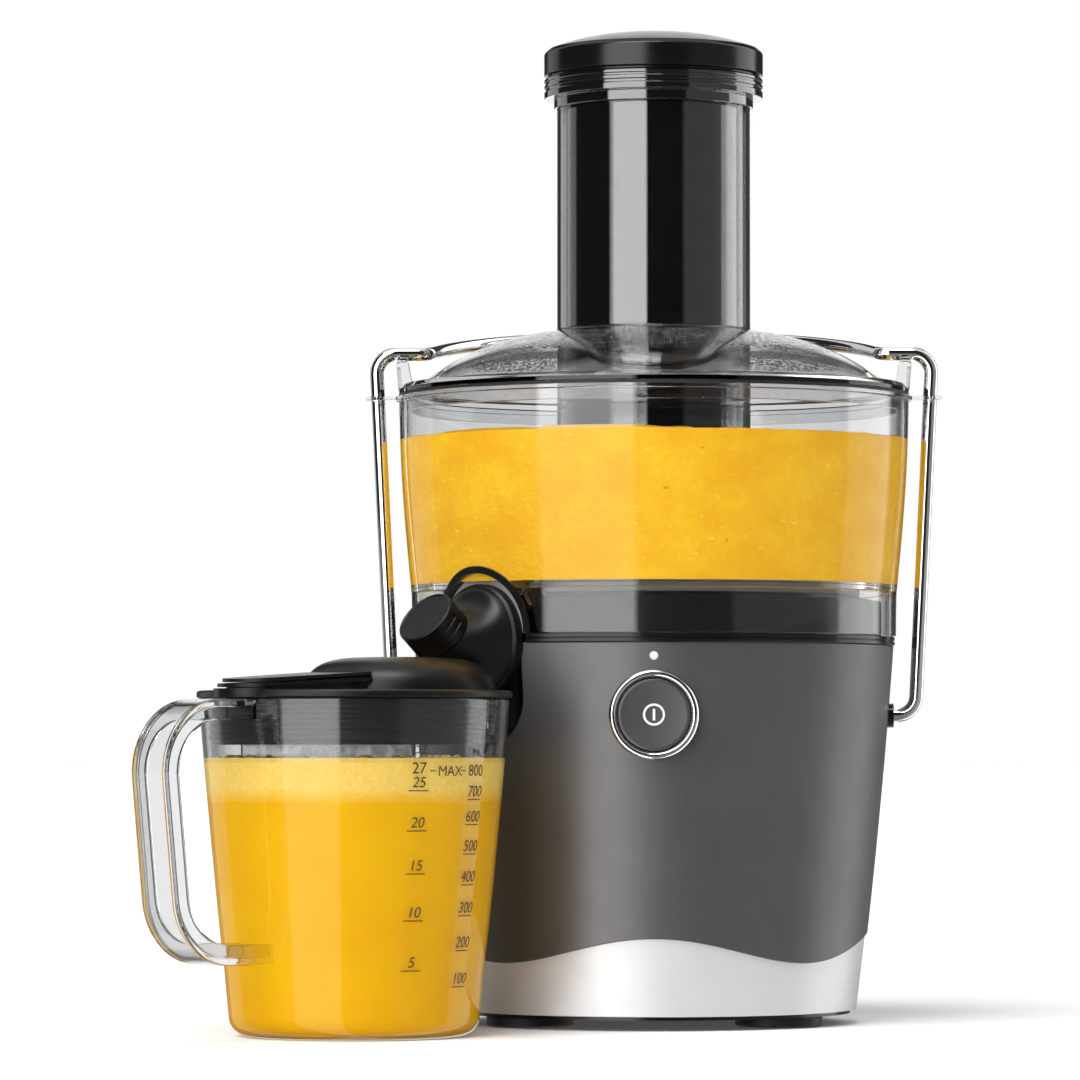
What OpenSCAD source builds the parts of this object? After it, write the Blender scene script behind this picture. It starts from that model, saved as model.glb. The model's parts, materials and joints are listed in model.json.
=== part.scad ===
// Centrifugal juicer: motor base, clear pulp bowl and lid with a wide feed chute, chrome locking arm,
// drip-stop spout and a handled juice jug with its own lid.
// Millimetres, +Z up, the front faces -Y. The origin is on the table under the middle of the whole
// object's box, and every sub-part is drawn about the vertical spindle, at_spindle() from the origin.

/* [Placement] */
// Spindle axis, distance from the origin along X
spindle_x = 40; // [38:0.5:42]
// Spindle axis, distance from the origin along Y
spindle_y = 46; // [44:0.5:48]

/* [Motor body] */
// Radius of the body shell at its foot
foot_r = 83.2; // [82:0.2:84]
// Radius of the body shell at its top
shoulder_r = 98; // [97:0.2:99]
// Height of the body shell's top edge
shoulder_z = 153.5; // [153:0.1:154]
// Wall of the body shell
shell_wall = 2.6; // [2.2:0.2:3]
// Mean height of the wavy edge between shell and band
wave_z = 31.2; // [30:0.2:32]
// Half the height of the wave, which has four crests
wave_rise = 5.2; // [3:0.2:5.4]
// Height of the rubber feet
foot_h = 4; // [3.6:0.2:4.4]
// Radius of each rubber foot
pad_r = 17.5; // [15:0.5:18]

/* [Bowl and lid] */
// Height of the pulp floor inside the bowl
floor_z = 178; // [177.5:0.1:178.5]
// Wall of the clear bowl
bowl_wall = 2.2; // [1.8:0.1:2.4]
// Height of the bowl's rim
rim_z = 255.2; // [255:0.1:255.4]
// Radius of the dome's arc
dome_arc_r = 113; // [112:0.5:114]
// Distance of that arc's centre from the spindle
dome_arc_x = 29.7; // [29:0.1:30.5]
// Wall of the lid
lid_wall = 2.4; // [2:0.1:2.6]

/* [Feed chute and pusher] */
// Radius of the feed chute's bore
chute_bore_r = 38; // [37.5:0.1:38.2]
// Wall of the feed chute
chute_wall = 1.75; // [1.5:0.05:1.8]
// Height of the chute's top face
chute_top_z = 386; // [380:1:390]
// Radius of the pusher
pusher_r = 36; // [35:0.1:37]
// Height of the pusher's lower end above the table
pusher_low_z = 200; // [199:1:206]
// Radius of the pusher's cap and of the chute's flange
cap_r = 45; // [44:0.5:46]
// Height of the pusher cap's skirt
cap_h = 10.7; // [9:0.1:12]
// Rise of the pusher cap's domed top
cap_crown = 8; // [5:0.5:9]

/* [Locking arm] */
// Diameter of the chrome rod
rod_d = 5.6; // [5.4:0.1:5.6]
// Height of the pivots
pivot_z = 125; // [124:0.5:126]
// Distance of each leg from the spindle, level with the pivots
leg_low_x = 106.9; // [106.5:0.1:107.5]
// Distance of each leg's corner from the spindle, level with the top run
leg_top_x = 114.1; // [113.8:0.1:114.4]
// Height of the top run
arm_top_z = 273.4; // [273.2:0.1:273.8]
// Distance behind the spindle of the crossbar's middle
crossbar_y = 70; // [69:0.5:71]
// Rise of the crossbar's middle above the top run
crossbar_rise = 12; // [11.5:0.5:13]

/* [Spout] */
// Direction of the spout and jug, counter-clockwise from +X
spout_angle = 225; // [224:1:226]
// Height of the outlet arch's centre
arch_z = 157.5; // [157.4:0.1:157.8]
// Inner radius of the outlet arch
arch_r = 23.7; // [23.4:0.1:23.9]
// Tilt of the drip-stop knob above the horizontal
knob_tilt = 40; // [38:1:42]
// Radius of the drip-stop knob
knob_r = 12.3; // [11.8:0.1:12.4]
// Depth of the drip-stop knob
knob_depth = 12; // [11:0.5:13]

/* [Controls] */
// Height of the power button's centre
button_z = 124.8; // [122:0.2:127]
// Radius of the power button
button_r = 14.4; // [14:0.1:14.5]
// Outer radius of the chrome ring round the button
button_ring_r = 17.7; // [17.2:0.1:18]
// Travel of the power button
button_travel = 2.5; // [2:0.1:2.6]
// Height of the indicator lamp
led_z = 148; // [147:0.2:149]

/* [Jug] */
// Distance of the jug's centre from the spindle
jug_gap = 165; // [164.5:0.5:166]
// Height of the jug
jug_h = 130.5; // [130:0.1:130.6]
// Outer radius of the jug at its rim
jug_rim_r = 60.5; // [60:0.1:60.6]
// Outer radius of the jug above its rounded foot
jug_foot_r = 48.9; // [48:0.1:49.4]
// Wall of the jug
jug_wall = 2.2; // [2:0.1:2.4]
// Reach of the handle's outer face from the jug's centre
handle_reach = 105; // [100:1:106]
// Width of the handle
handle_w = 20; // [18:0.5:22]
// Half the width of the notch in the jug's lid that the spout stands in
notch_half = 22.5; // [22:0.1:22.6]

/* [Hidden] */
$fn = 96;
gap = 0.3;                              // clearance between pieces that part or move
fit = 0.05;                             // radial clearance of a running fit
rod_r = rod_d / 2;
lip = 0.8;                              // shell left outside the silver band
lip_top_z = wave_z + wave_rise + 2.6;   // top of the rebate that takes the band
band_low_z = 5.5;
plate_z = foot_h;                       // underside of the base plate
plate_t = 3;
boss_x = 50;                            // feet and base screws, from the spindle
boss_y = 38;
deck_r = 93;                            // black deck under the bowl
deck_z = 172;
trim_h = 3.5;
skirt_z = shoulder_z + trim_h + 0.2;    // foot of the bowl's clear skirt
skirt_r = 99.2;
flange_r = 105.6;
collector_r = 82;
chute_r = chute_bore_r + chute_wall;
rod_bend = 8;                           // radius of the bends in the legs' plane
arm_turn_x = 97;                        // where the top run turns back
arm_turn_r = 5;
arm_slope = atan(crossbar_rise / crossbar_y);
arm_depth = sqrt(pow(crossbar_y, 2) + pow(crossbar_rise, 2));
arm_arc_y = (pow(arm_depth + arm_turn_r, 2) - pow(arm_turn_x, 2) - pow(arm_turn_r, 2)) / (2 * arm_depth);
arm_arc_r = arm_depth - arm_arc_y;
arm_arc_a = atan2(arm_turn_r - arm_arc_y, arm_turn_x);
leg_lean = atan((leg_top_x - leg_low_x) / (arm_top_z - pivot_z));
cam_x = 85;                             // inner end of the arm's rod
knob_face = [128, 163.6];               // centre of the knob's face, outward and up
knob_back = knob_face - knob_depth * [cos(knob_tilt), sin(knob_tilt)];
spout_disc_r = 19;
spout_disc_z = 155.5;
nozzle_x = 114.5;
nozzle_r = 10.8;
nozzle_low_z = 139;
stem_r = 6.95;
stem_l = 12;
lid_rim_z = jug_h + gap;                // underside of the jug lid's rim
lid_top_z = lid_rim_z + 3.2;
dome_x = -24;                           // centre of the jug lid's dome, from the jug's centre
dome_r = 38;
dome_h = 13.3;
hood_wall = 2.4;
motor_low_z = 62;                       // motor stack
motor_high_z = 98;
stator_r = 44;
tie_r = 40;
shaft_r = 3.95;
bearing_r = 11;

// ---- shared shapes ----

// Points of an arc, from angle a0 to a1 in n steps.
function arc(centre, r, a0, a1, n) = [for (i = [0:n])
    centre + r * [cos(a0 + (a1 - a0) * i / n), sin(a0 + (a1 - a0) * i / n)]];

// Outer radius of the body shell at height z: a gentle flare that eases towards the shoulder.
function shell_r(z) = let (t = (z - foot_h) / (shoulder_z - foot_h))
    foot_r + (shoulder_r - foot_r) * (1.28 * t - 0.28 * t * t);

// Outer radius of the clear bowl at height z.
function bowl_r(z) = z < floor_z - 4 ? skirt_r + 0.2 * (z - skirt_z) / (floor_z - 4 - skirt_z)
    : 99.4 + 5.1 * sin(90 * (z - floor_z + 4) / (rim_z - floor_z + 4));

// Outer radius of the jug at height z.
function jug_r(z) = jug_foot_r + (jug_rim_r - jug_foot_r) * (z - 8) / (jug_h - 8);

module at_spindle() translate([spindle_x, spindle_y, 0]) children();

// +X points outward along the spout, from the spindle.
module along_spout() at_spindle() rotate([0, 0, spout_angle]) children();

// +X points outward to the handle, from the jug's centre.
module at_jug() along_spout() translate([jug_gap, 0, 0]) children();

// A solid of revolution from points (radius, height).
module lathe(points) rotate_extrude() polygon(points);

module tube(r_out, r_in, z0, z1) difference() {
    translate([0, 0, z0]) cylinder(r = r_out, h = z1 - z0);
    translate([0, 0, z0 - 1]) cylinder(r = r_in, h = z1 - z0 + 2);
}

// A cylinder whose axis points along +X, starting at x0.
module bar_x(r, x0, length) translate([x0, 0, 0]) rotate([0, 90, 0]) cylinder(r = r, h = length);

// A cylinder whose axis points along +Y, starting at y0.
module bar_y(r, y0, length) translate([0, y0, 0]) rotate([-90, 0, 0]) cylinder(r = r, h = length);

module at_bosses() for (x = [-boss_x, boss_x], y = [-boss_y, boss_y]) translate([x, y, 0]) children();

module at_diagonals(r) for (a = [45:90:315]) rotate([0, 0, a]) translate([r, 0, 0]) children();

module on_both_sides() {
    children();
    mirror([1, 0, 0]) children();
}

// ---- base and body ----

module feet() {
    color([0.08, 0.08, 0.08]) at_spindle() at_bosses() difference() {
        lathe([[0, 0], [pad_r - 0.8, 0], [pad_r, 0.8], [pad_r, foot_h], [0, foot_h]]);
        translate([0, 0, -1]) cylinder(r = 4.2, h = foot_h + 2);
    }
}

module base_screws() {
    color([0.6, 0.6, 0.62]) at_spindle() at_bosses() difference() {
        union() {
            translate([0, 0, foot_h - 2.4]) cylinder(r = 3.8, h = 2.4);
            translate([0, 0, foot_h]) cylinder(r = 1.9, h = 16);
        }
        translate([-3, -0.5, foot_h - 2.5]) cube([6, 1, 1.1]);
    }
}

module base_plate() {
    rim_r = shell_r(plate_z) - lip - 2.4;
    color([0.1, 0.1, 0.1]) at_spindle() difference() {
        union() {
            translate([0, 0, plate_z]) cylinder(r = rim_r, h = plate_t);
            tube(rim_r, rim_r - 2.5, plate_z, plate_z + 9);
            for (a = [0:90:270]) rotate([0, 0, a]) translate([54, 0, plate_z]) cylinder(r = 8, h = 22);
        }
        translate([0, 0, plate_z - 1]) at_bosses() cylinder(r = 2.2, h = plate_t + 2);
        for (a = [0:24:336]) rotate([0, 0, a]) translate([24, -1.5, plate_z - 1]) cube([14, 3, plate_t + 2]);
    }
}

module silver_band() {
    outer = [for (z = [band_low_z:8.3:lip_top_z - 0.1]) [shell_r(z) - lip - 0.1, z]];
    inner = [for (i = [len(outer) - 1:-1:0]) outer[i] - [1.9, 0]];
    color([0.85, 0.85, 0.85]) at_spindle() lathe(concat(outer, inner));
}

// Everything under the wavy edge, as a ring round the foot of the shell.
module under_wave() {
    n = 72;
    r_in = foot_r - 12;
    r_out = foot_r + 14;
    ring = [for (i = [0:n - 1]) let (a = 360 * i / n, z = wave_z + wave_rise * cos(4 * a))
        each [for (p = [[r_in, 0], [r_out, 0], [r_out, z], [r_in, z]]) [p[0] * cos(a), p[0] * sin(a), p[1]]]];
    faces = [for (i = [0:n - 1], k = [0:3]) let (j = (i + 1) % n, m = (k + 1) % 4)
        each [[4 * i + k, 4 * i + m, 4 * j + k], [4 * i + m, 4 * j + m, 4 * j + k]]];
    polyhedron(ring, faces);
}

// The U-shaped opening in the shell behind the spout.
module spout_opening(half) rotate([0, 0, spout_angle]) {
    translate([80, -half, 133]) cube([40, 2 * half, 30]);
    translate([0, 0, 133]) bar_x(half, 80, 40);
}

module body_shell() {
    low = wave_z - wave_rise - 2;
    outer = [for (i = [0:12]) let (z = low + (shoulder_z - low) * i / 12) [shell_r(z), z]];
    bore = [for (i = [12:-1:2]) let (z = lip_top_z + (shoulder_z - lip_top_z) * (i - 2) / 10)
        [shell_r(z) - shell_wall, z]];
    rebate = [for (z = [lip_top_z, (lip_top_z + low) / 2, low]) [shell_r(z) - lip, z]];
    color([0.3, 0.29, 0.29]) at_spindle() difference() {
        union() {
            difference() {
                lathe(concat(outer, bore, rebate));
                under_wave();
            }
            at_bosses() tube(5, 2, plate_z + plate_t + gap, 60);
            for (x = [-1, 1], y = [-1, 1]) rotate([0, 0, atan2(boss_y * y, boss_x * x)])
                translate([67, -1.5, 42]) cube([19.5, 3, 18]);
        }
        translate([0, 0, button_z]) bar_y(button_ring_r + 0.1, -110, 40);
        translate([0, 0, led_z]) bar_y(1.75, -110, 40);
        translate([0, 0, pivot_z]) bar_x(5, -110, 220);
        translate([0, 0, 50]) bar_y(6, 70, 40);
        spout_opening(21);
    }
}

module recess_liner() {
    color([0.05, 0.05, 0.05]) at_spindle() difference() {
        intersection() {
            rotate([0, 0, spout_angle]) translate([104, 0, 109]) cylinder(r = 27, h = 44.2);
            lathe([[0, 100], [shell_r(100) - shell_wall - 0.2, 100],
                [shell_r(126) - shell_wall - 0.2, 126],
                [shell_r(shoulder_z) - shell_wall - 0.2, shoulder_z], [0, shoulder_z]]);
        }
        rotate([0, 0, spout_angle]) translate([104, 0, 111.5]) cylinder(r = 24.8, h = 50);
    }
}

module top_deck() {
    color([0.07, 0.07, 0.07]) at_spindle() difference() {
        lathe([[92.4, 149], [95, 149], [95, 153.3], [deck_r, 153.3], [deck_r, deck_z], [86, deck_z],
            [86, 163], [21, 163], [21, 160.4], [88.4, 160.4], [88.4, deck_z - 2.6],
            [deck_r - 2.6, deck_z - 2.6], [deck_r - 2.6, 153.3], [92.4, 151.3]]);
        rotate([0, 0, spout_angle]) {
            translate([0, 0, arch_z]) bar_x(arch_r + 5.2, 76, 40);
            translate([78, -29.2, 140]) cube([40, 58.4, arch_z - 140 + 1]);
        }
    }
}

module trim_ring() {
    color([0.05, 0.05, 0.05]) at_spindle() difference() {
        tube(shoulder_r + 0.6, deck_r + 0.2, shoulder_z, shoulder_z + trim_h);
        rotate([0, 0, spout_angle]) translate([0, 0, arch_z]) bar_x(arch_r + 0.3, 80, 30);
    }
}

// ---- controls ----

module at_button() at_spindle() translate([0, 0, button_z]) children();

module button_ring() {
    color([0.9, 0.9, 0.9]) at_button() difference() {
        bar_y(button_ring_r, -98.4, 9.6);
        bar_y(button_r + gap, -100, 20);
    }
}

module power_button() {
    color([0.3, 0.3, 0.3]) at_button() {
        bar_y(button_r, -97.6, 7.4);
        bar_y(4, -90.2, 6.2);
    }
}

// A compression spring between the button's back and the switch, drawn as its coils.
module button_spring() {
    turns = 3;
    length = 8.4;
    n = 20 * turns;
    sides = 6;
    coil = [for (i = [0:n]) let (a = 360 * turns * i / n)
        for (k = [0:sides - 1]) let (r = 6.2 + 0.5 * cos(60 * k))
            [r * cos(a), -90 + 0.7 + length * i / n + 0.5 * sin(60 * k), r * sin(a)]];
    skin = [for (i = [0:n - 1], k = [0:sides - 1]) let (m = (k + 1) % sides, p = sides * i, q = p + sides)
        each [[p + k, q + k, p + m], [p + m, q + k, q + m]]];
    color([0.75, 0.75, 0.77]) at_button() polyhedron(coil, concat(skin, [[for (k = [0:sides - 1]) k],
        [for (k = [sides - 1:-1:0]) sides * n + k]]));
}

module power_switch() {
    color([0.15, 0.15, 0.16]) at_button() {
        translate([-9, -80, -8]) cube([18, 14, 16]);
        bar_y(2, -81.3, 1.3);
    }
}

module led_lens() {
    color([0.92, 0.92, 0.9]) at_spindle() translate([0, 0, led_z]) bar_y(1.7, -98.2, 3);
}

module control_board() {
    color([0.1, 0.35, 0.15]) at_spindle() translate([0, 62, 66]) {
        translate([-32, 0, 0]) cube([64, 1.6, 44]);
        translate([-24, -14, 8]) cube([18, 14, 16]);
        for (x = [4, 16]) translate([x, 0, 24]) bar_y(5, -14, 14);
        translate([-28, -9, 30]) cube([22, 9, 10]);
    }
}

module interlock_switch() {
    color([0.15, 0.15, 0.16]) at_spindle() {
        translate([cam_x - 6, -8, pivot_z + 14]) cube([6, 16, 10]);
        translate([cam_x - 3, 0, pivot_z + 11.4]) cylinder(r = 1.4, h = 2.6);
    }
}

// ---- motor ----

module motor_stator() {
    color([0.45, 0.45, 0.47]) at_spindle() difference() {
        tube(stator_r, 21.5, motor_low_z, motor_high_z);
        at_diagonals(tie_r) translate([0, 0, motor_low_z - 1]) cylinder(r = 2.4, h = 38);
        for (a = [0, 180]) rotate([0, 0, a]) translate([24, -8, motor_low_z - 1]) cube([9, 16, 38]);
    }
}

module field_coils() {
    color([0.72, 0.4, 0.16]) at_spindle() for (z = [motor_low_z - 8, motor_high_z], a = [90, 270])
        intersection() {
            tube(34, 23, z, z + 8);
            rotate([0, 0, a]) translate([0, -28, z]) cube([36, 56, 8]);
        }
}

// A bearing bracket: plate and hub at the far end, and legs that stand on the stator at z = 0.
module bracket(leg_h) difference() {
    union() {
        translate([0, 0, leg_h]) cylinder(r = stator_r + 1, h = 3);
        translate([0, 0, leg_h]) cylinder(r = bearing_r + 3, h = 10);
        at_diagonals(tie_r) cylinder(r = 4.6, h = leg_h);
    }
    translate([0, 0, leg_h + 3]) cylinder(r = bearing_r, h = 8);
    translate([0, 0, leg_h - 1]) cylinder(r = 7, h = 5);
    at_diagonals(tie_r) translate([0, 0, -1]) cylinder(r = 2.4, h = leg_h + 5);
    for (a = [0:90:270]) rotate([0, 0, a]) translate([20, -5, leg_h - 1]) cube([14, 10, 5]);
}

module upper_bracket() {
    color([0.7, 0.7, 0.7]) at_spindle() translate([0, 0, motor_high_z]) bracket(22);
}

module lower_bracket() {
    color([0.7, 0.7, 0.7]) at_spindle() difference() {
        union() {
            translate([0, 0, motor_low_z]) mirror([0, 0, 1]) bracket(17);
            for (a = [0:90:270]) rotate([0, 0, a]) translate([42, -7, motor_low_z - 20]) cube([20, 14, 3]);
        }
        for (a = [0:90:270]) rotate([0, 0, a]) translate([54, 0, 30]) cylinder(r = 3, h = 20);
    }
}

module motor_mounts() {
    color([0.12, 0.12, 0.12]) at_spindle() for (a = [0:90:270]) rotate([0, 0, a]) translate([54, 0, 0])
        tube(7, 2.2, 26, 42);
}

module motor_screws() {
    color([0.6, 0.6, 0.62]) at_spindle() at_diagonals(tie_r) {
        translate([0, 0, 40]) cylinder(r = 2.2, h = 83);
        translate([0, 0, 123]) cylinder(r = 4, h = 3);
    }
}

module bearings() {
    color([0.75, 0.75, 0.78]) at_spindle() for (z = [35, 123]) tube(bearing_r, shaft_r + fit, z, z + 7);
}

module brush_holders() {
    color([0.6, 0.5, 0.25]) at_spindle() on_both_sides() difference() {
        translate([13, -5.5, 107]) cube([22, 11, 13]);
        translate([12, -3, 109]) cube([24, 6, 8]);
    }
}

module carbon_brushes() {
    color([0.15, 0.15, 0.15]) at_spindle() on_both_sides()
        translate([11.3, -2.9, 109.1]) cube([20, 5.8, 7.8]);
}

module motor_shaft() {
    color([0.8, 0.8, 0.82]) at_spindle() translate([0, 0, 33]) cylinder(r = shaft_r, h = 145);
}

module rotor_core() {
    color([0.5, 0.5, 0.52]) at_spindle() difference() {
        tube(20.8, shaft_r, motor_low_z, motor_high_z);
        for (a = [0:30:330]) rotate([0, 0, a]) translate([13, -1.5, motor_low_z - 1]) cube([9, 3, 38]);
    }
}

module rotor_winding() {
    color([0.75, 0.42, 0.18]) at_spindle() {
        tube(18.5, 8, motor_low_z - 6, motor_low_z);
        tube(18.5, 8, motor_high_z, motor_high_z + 6);
    }
}

module commutator() {
    color([0.8, 0.5, 0.25]) at_spindle() tube(11, shaft_r, 106, 119);
}

module cooling_fan() {
    color([0.2, 0.2, 0.2]) at_spindle() {
        tube(8, shaft_r, 46.5, 54);
        tube(31, 7, 46.5, 48);
        for (a = [0:30:330]) rotate([0, 0, a]) translate([12, -0.6, 48]) cube([18, 1.2, 5]);
    }
}

// ---- drive, sieve and juice path ----

module drive_coupling() {
    color([0.12, 0.12, 0.12]) at_spindle() {
        tube(9, shaft_r, 152, 178);
        for (a = [0:60:300]) rotate([0, 0, a]) translate([8, -1.5, 160]) cube([2.8, 3, 18]);
        translate([0, 0, 178]) cylinder(r = 9, h = 7.4);
    }
}

module shaft_seal() {
    color([0.1, 0.1, 0.1]) at_spindle() {
        tube(20.9, 11.4, 158.5, 163);
        tube(23, 11.4, 163, 165);
    }
}

module sieve_hub() {
    color([0.1, 0.1, 0.1]) at_spindle() lathe([[11.4, 168], [14, 168], [14, 182], [22, 185], [54.5, 185],
        [56.2, 190], [54, 190], [52.8, 187.8], [0, 187.8], [0, 185.8], [11.4, 185.8]]);
}

module grater_disc() {
    color([0.8, 0.8, 0.82]) at_spindle() {
        translate([0, 0, 187.9]) cylinder(r = 52, h = 1.4);
        for (ring = [1:4], a = [0:45:315]) rotate([0, 0, a + 11 * ring])
            translate([11.5 * ring, 0, 189.1]) cylinder(r1 = 1.4, r2 = 0.3, h = 2.4, $fn = 16);
    }
}

module sieve_mesh() {
    color([0.75, 0.75, 0.77]) at_spindle()
        lathe([[54.6, 190.1], [55.6, 190.1], [73.4, 235], [72.4, 235]]);
}

module sieve_rim() {
    color([0.1, 0.1, 0.1]) at_spindle() lathe([[71.6, 235.1], [76, 235.1], [84.8, 228.5], [86.6, 228.5],
        [86.6, 231], [79, 239], [71.6, 239]]);
}

module juice_collector() {
    color([0.12, 0.12, 0.12]) at_spindle() difference() {
        lathe([[24, 163.3], [collector_r, 163.3], [collector_r, 226], [79.8, 226], [79.8, 165.7],
            [26.3, 165.7], [17.6, 181], [15.2, 181]]);
        rotate([0, 0, spout_angle]) translate([70, -11, 165.8]) cube([20, 22, 7]);
    }
}

// ---- clear bowl ----

// Everything inside the bowl's outer surface, grown by extra.
module bowl_solid(extra) lathe(concat([[0, skirt_z]],
    [for (z = [skirt_z, floor_z - 4, floor_z + 14, floor_z + 26]) [bowl_r(z) + extra, z]],
    [[0, floor_z + 26]]));

// The upper half of a tube along the spout, from the juice collector outward.
module arch(r_out, r_in) intersection() {
    rotate([0, 0, spout_angle]) translate([0, 0, arch_z]) difference() {
        bar_x(r_out, 84.5, 24);
        bar_x(r_in, 80, 32);
    }
    bowl_solid(r_in > arch_r ? 0 : 0.5);
}

// The wall of the bowl above its floor, with the rim that carries the lid.
module bowl() {
    wall = [for (i = [0:8]) let (z = floor_z + (rim_z - 1.7 - floor_z) * i / 8) [bowl_r(z), z]];
    inside = [for (i = [8:-1:0]) let (z = floor_z + (rim_z - floor_z) * i / 8) [bowl_r(z) - bowl_wall, z]];
    color([0.85, 0.9, 0.92, 0.45]) at_spindle() difference() {
        lathe(concat(wall, [[flange_r, rim_z - 1.7], [flange_r, rim_z]], inside));
        rotate([0, 0, spout_angle]) translate([0, 0, arch_z]) bar_x(arch_r + 5, 78, 32);
    }
}

// The bowl's floor and skirt, moulded in one with its wall, and the arch over the spout.
module bowl_floor() {
    color([0.85, 0.9, 0.92, 0.45]) at_spindle() {
        difference() {
            lathe([[skirt_r, skirt_z], [bowl_r(floor_z - 4), floor_z - 4], [bowl_r(floor_z), floor_z],
                [84.3, floor_z], [84.3, floor_z - 2.5], [bowl_r(floor_z - 4) - bowl_wall, floor_z - 2.5],
                [skirt_r - bowl_wall, skirt_z]]);
            rotate([0, 0, spout_angle]) translate([0, 0, arch_z]) bar_x(arch_r + 3, 78, 32);
        }
        arch(arch_r + 5, arch_r + 3);
    }
}

// Lugs under the arm's top corners, moulded in one with the bowl's rim.
module stop_ears() {
    color([0.85, 0.9, 0.92, 0.45]) at_spindle() on_both_sides() difference() {
        union() {
            translate([100, -14, rim_z - 1.7]) cube([17.4, 14 - rod_r - 0.4, 1.7]);
            translate([100, -9.6, rim_z - 8]) rotate([-90, 0, 0]) linear_extrude(2)
                polygon([[0, 0], [0, -6.4], [9.5, -6.4], [3.5, 0]]);
        }
        translate([0, 0, rim_z - 9]) cylinder(r1 = bowl_r(rim_z - 9) + 0.02, r2 = bowl_r(rim_z - 1.72) + 0.02, h = 7.28);
        translate([0, 0, rim_z - 1.72]) cylinder(r = flange_r + 0.02, h = 3);
    }
}

module bowl_seal() {
    color([0.75, 0.75, 0.75]) at_spindle() difference() {
        tube(84.2, collector_r + 0.1, floor_z - 4, floor_z);
        rotate([0, 0, spout_angle]) translate([0, 0, arch_z]) bar_x(arch_r + 3, 70, 32);
    }
}

// ---- spout ----

module spout_collar() {
    color([0.06, 0.06, 0.06]) at_spindle() arch(arch_r + 2.8, arch_r);
}

module spout_seal() {
    color([0.6, 0.6, 0.6]) along_spout() intersection() {
        translate([0, 0, arch_z]) difference() {
            bar_x(arch_r - 0.2, 90, 5.4);
            translate([0, 0, 160 - arch_z]) bar_x(8.2, 80, 20);
        }
        translate([80, -30, skirt_z]) cube([30, 60, 40]);
    }
}

// +X runs out of the knob's face, from the back of the knob.
module at_knob() along_spout() translate([knob_back[0], 0, knob_back[1]]) rotate([0, -knob_tilt, 0])
    children();

module spout_body() {
    color([0.07, 0.07, 0.07]) along_spout() difference() {
        union() {
            hull() {
                translate([0, 0, spout_disc_z]) bar_x(spout_disc_r, 95.6, 3.6, $fn = 32);
                translate([knob_back[0], 0, knob_back[1]]) rotate([0, -knob_tilt, 0])
                    bar_x(knob_r, -3, 3 - gap, $fn = 32);
                translate([nozzle_x, 0, 144.5]) cylinder(r = nozzle_r, h = 2.5, $fn = 32);
            }
            translate([nozzle_x, 0, nozzle_low_z]) cylinder(r = nozzle_r - 0.3, h = 7);
            translate([0, 0, 160]) bar_x(8, collector_r + 0.2, 16);
        }
        translate([0, 0, 160]) bar_x(6, 80, 33);
        translate([nozzle_x, 0, nozzle_low_z - 1]) cylinder(r = 7.6, h = 12);
        translate([knob_back[0], 0, knob_back[1]]) rotate([0, -knob_tilt, 0])
            bar_x(stem_r + fit, -stem_l - 0.5, stem_l + 1);
    }
}

module drip_stop_knob() {
    color([0.07, 0.07, 0.07]) at_knob() {
        difference() {
            union() {
                bar_x(knob_r, 0, knob_depth - 0.8);
                translate([knob_depth - 0.8, 0, 0]) rotate([0, 90, 0]) cylinder(r1 = knob_r, r2 = knob_r - 0.8,
                    h = 0.8);
                bar_x(stem_r, -stem_l, stem_l);
            }
            translate([-6, 0, -10]) cylinder(r = 4, h = 20);
            translate([-2.2, 0, 0]) rotate([0, 90, 0]) tube(stem_r + 1, stem_r - 1.5, 0, 1.6);
        }
        for (x = [3, 6.5]) translate([x, 0, 0]) rotate([0, 90, 0]) intersection() {
            tube(knob_r + 0.8, knob_r - 0.4, 0, 1.4);
            rotate([0, 0, 60]) translate([knob_r - 2, -5.5, 0]) cube([5, 11, 2]);
        }
    }
}

module knob_oring() {
    color([0.15, 0.15, 0.15]) at_knob() translate([-1.4, 0, 0]) rotate([0, 90, 0])
        rotate_extrude() translate([stem_r - 0.75, 0]) circle(r = 0.7, $fn = 24);
}

// ---- lid ----

// Height of the dome's arc centre, so that the arc meets the rim.
function dome_arc_z() = rim_z + 3 - sqrt(pow(dome_arc_r, 2) - pow(100 - dome_arc_x, 2));

// Angle at which an arc about the dome's centre reaches radius x.
function dome_angle(r, x) = acos((x - dome_arc_x) / r);

module dome() {
    centre = [dome_arc_x, dome_arc_z()];
    inner_r = dome_arc_r - lid_wall;
    lathe(concat(arc(centre, dome_arc_r, dome_angle(dome_arc_r, chute_r), dome_angle(dome_arc_r, 100), 12),
        arc(centre, inner_r, dome_angle(inner_r, 99.4), dome_angle(inner_r, chute_r), 12)));
}

// Posts that the arm's top run presses on, with tops curved about the arm's pivots.
module saddle_posts() intersection() {
    on_both_sides() translate([0, 9, 0]) rotate([90, 0, 0]) linear_extrude(18)
        polygon([[98, 257.6], [104.5, 257.6], [105.6, 272], [100.6, 272]]);
    translate([0, 0, pivot_z]) bar_x(arm_top_z - pivot_z - rod_r - gap, -110, 220);
}

module lid() {
    color([0.85, 0.9, 0.92, 0.45]) at_spindle() {
        dome();
        lathe([[99.4, rim_z - 6], [101.6, rim_z - 6], [101.6, rim_z + 1.2], [104.6, rim_z + 1.2],
            [104.6, rim_z + 3], [103, rim_z + 5], [98.4, rim_z + 5], [98.4, rim_z + 1.2]]);
        saddle_posts();
    }
}

// The chute, moulded in one with the dome.
module feed_chute() {
    color([0.85, 0.9, 0.92, 0.45]) at_spindle() lathe([[chute_bore_r, pusher_low_z - 3],
        [chute_r, pusher_low_z - 3], [chute_r, chute_top_z - 12], [41, chute_top_z - 12],
        [41, chute_top_z - 8], [cap_r, chute_top_z - 8], [cap_r, chute_top_z], [chute_bore_r, chute_top_z]]);
}

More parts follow.
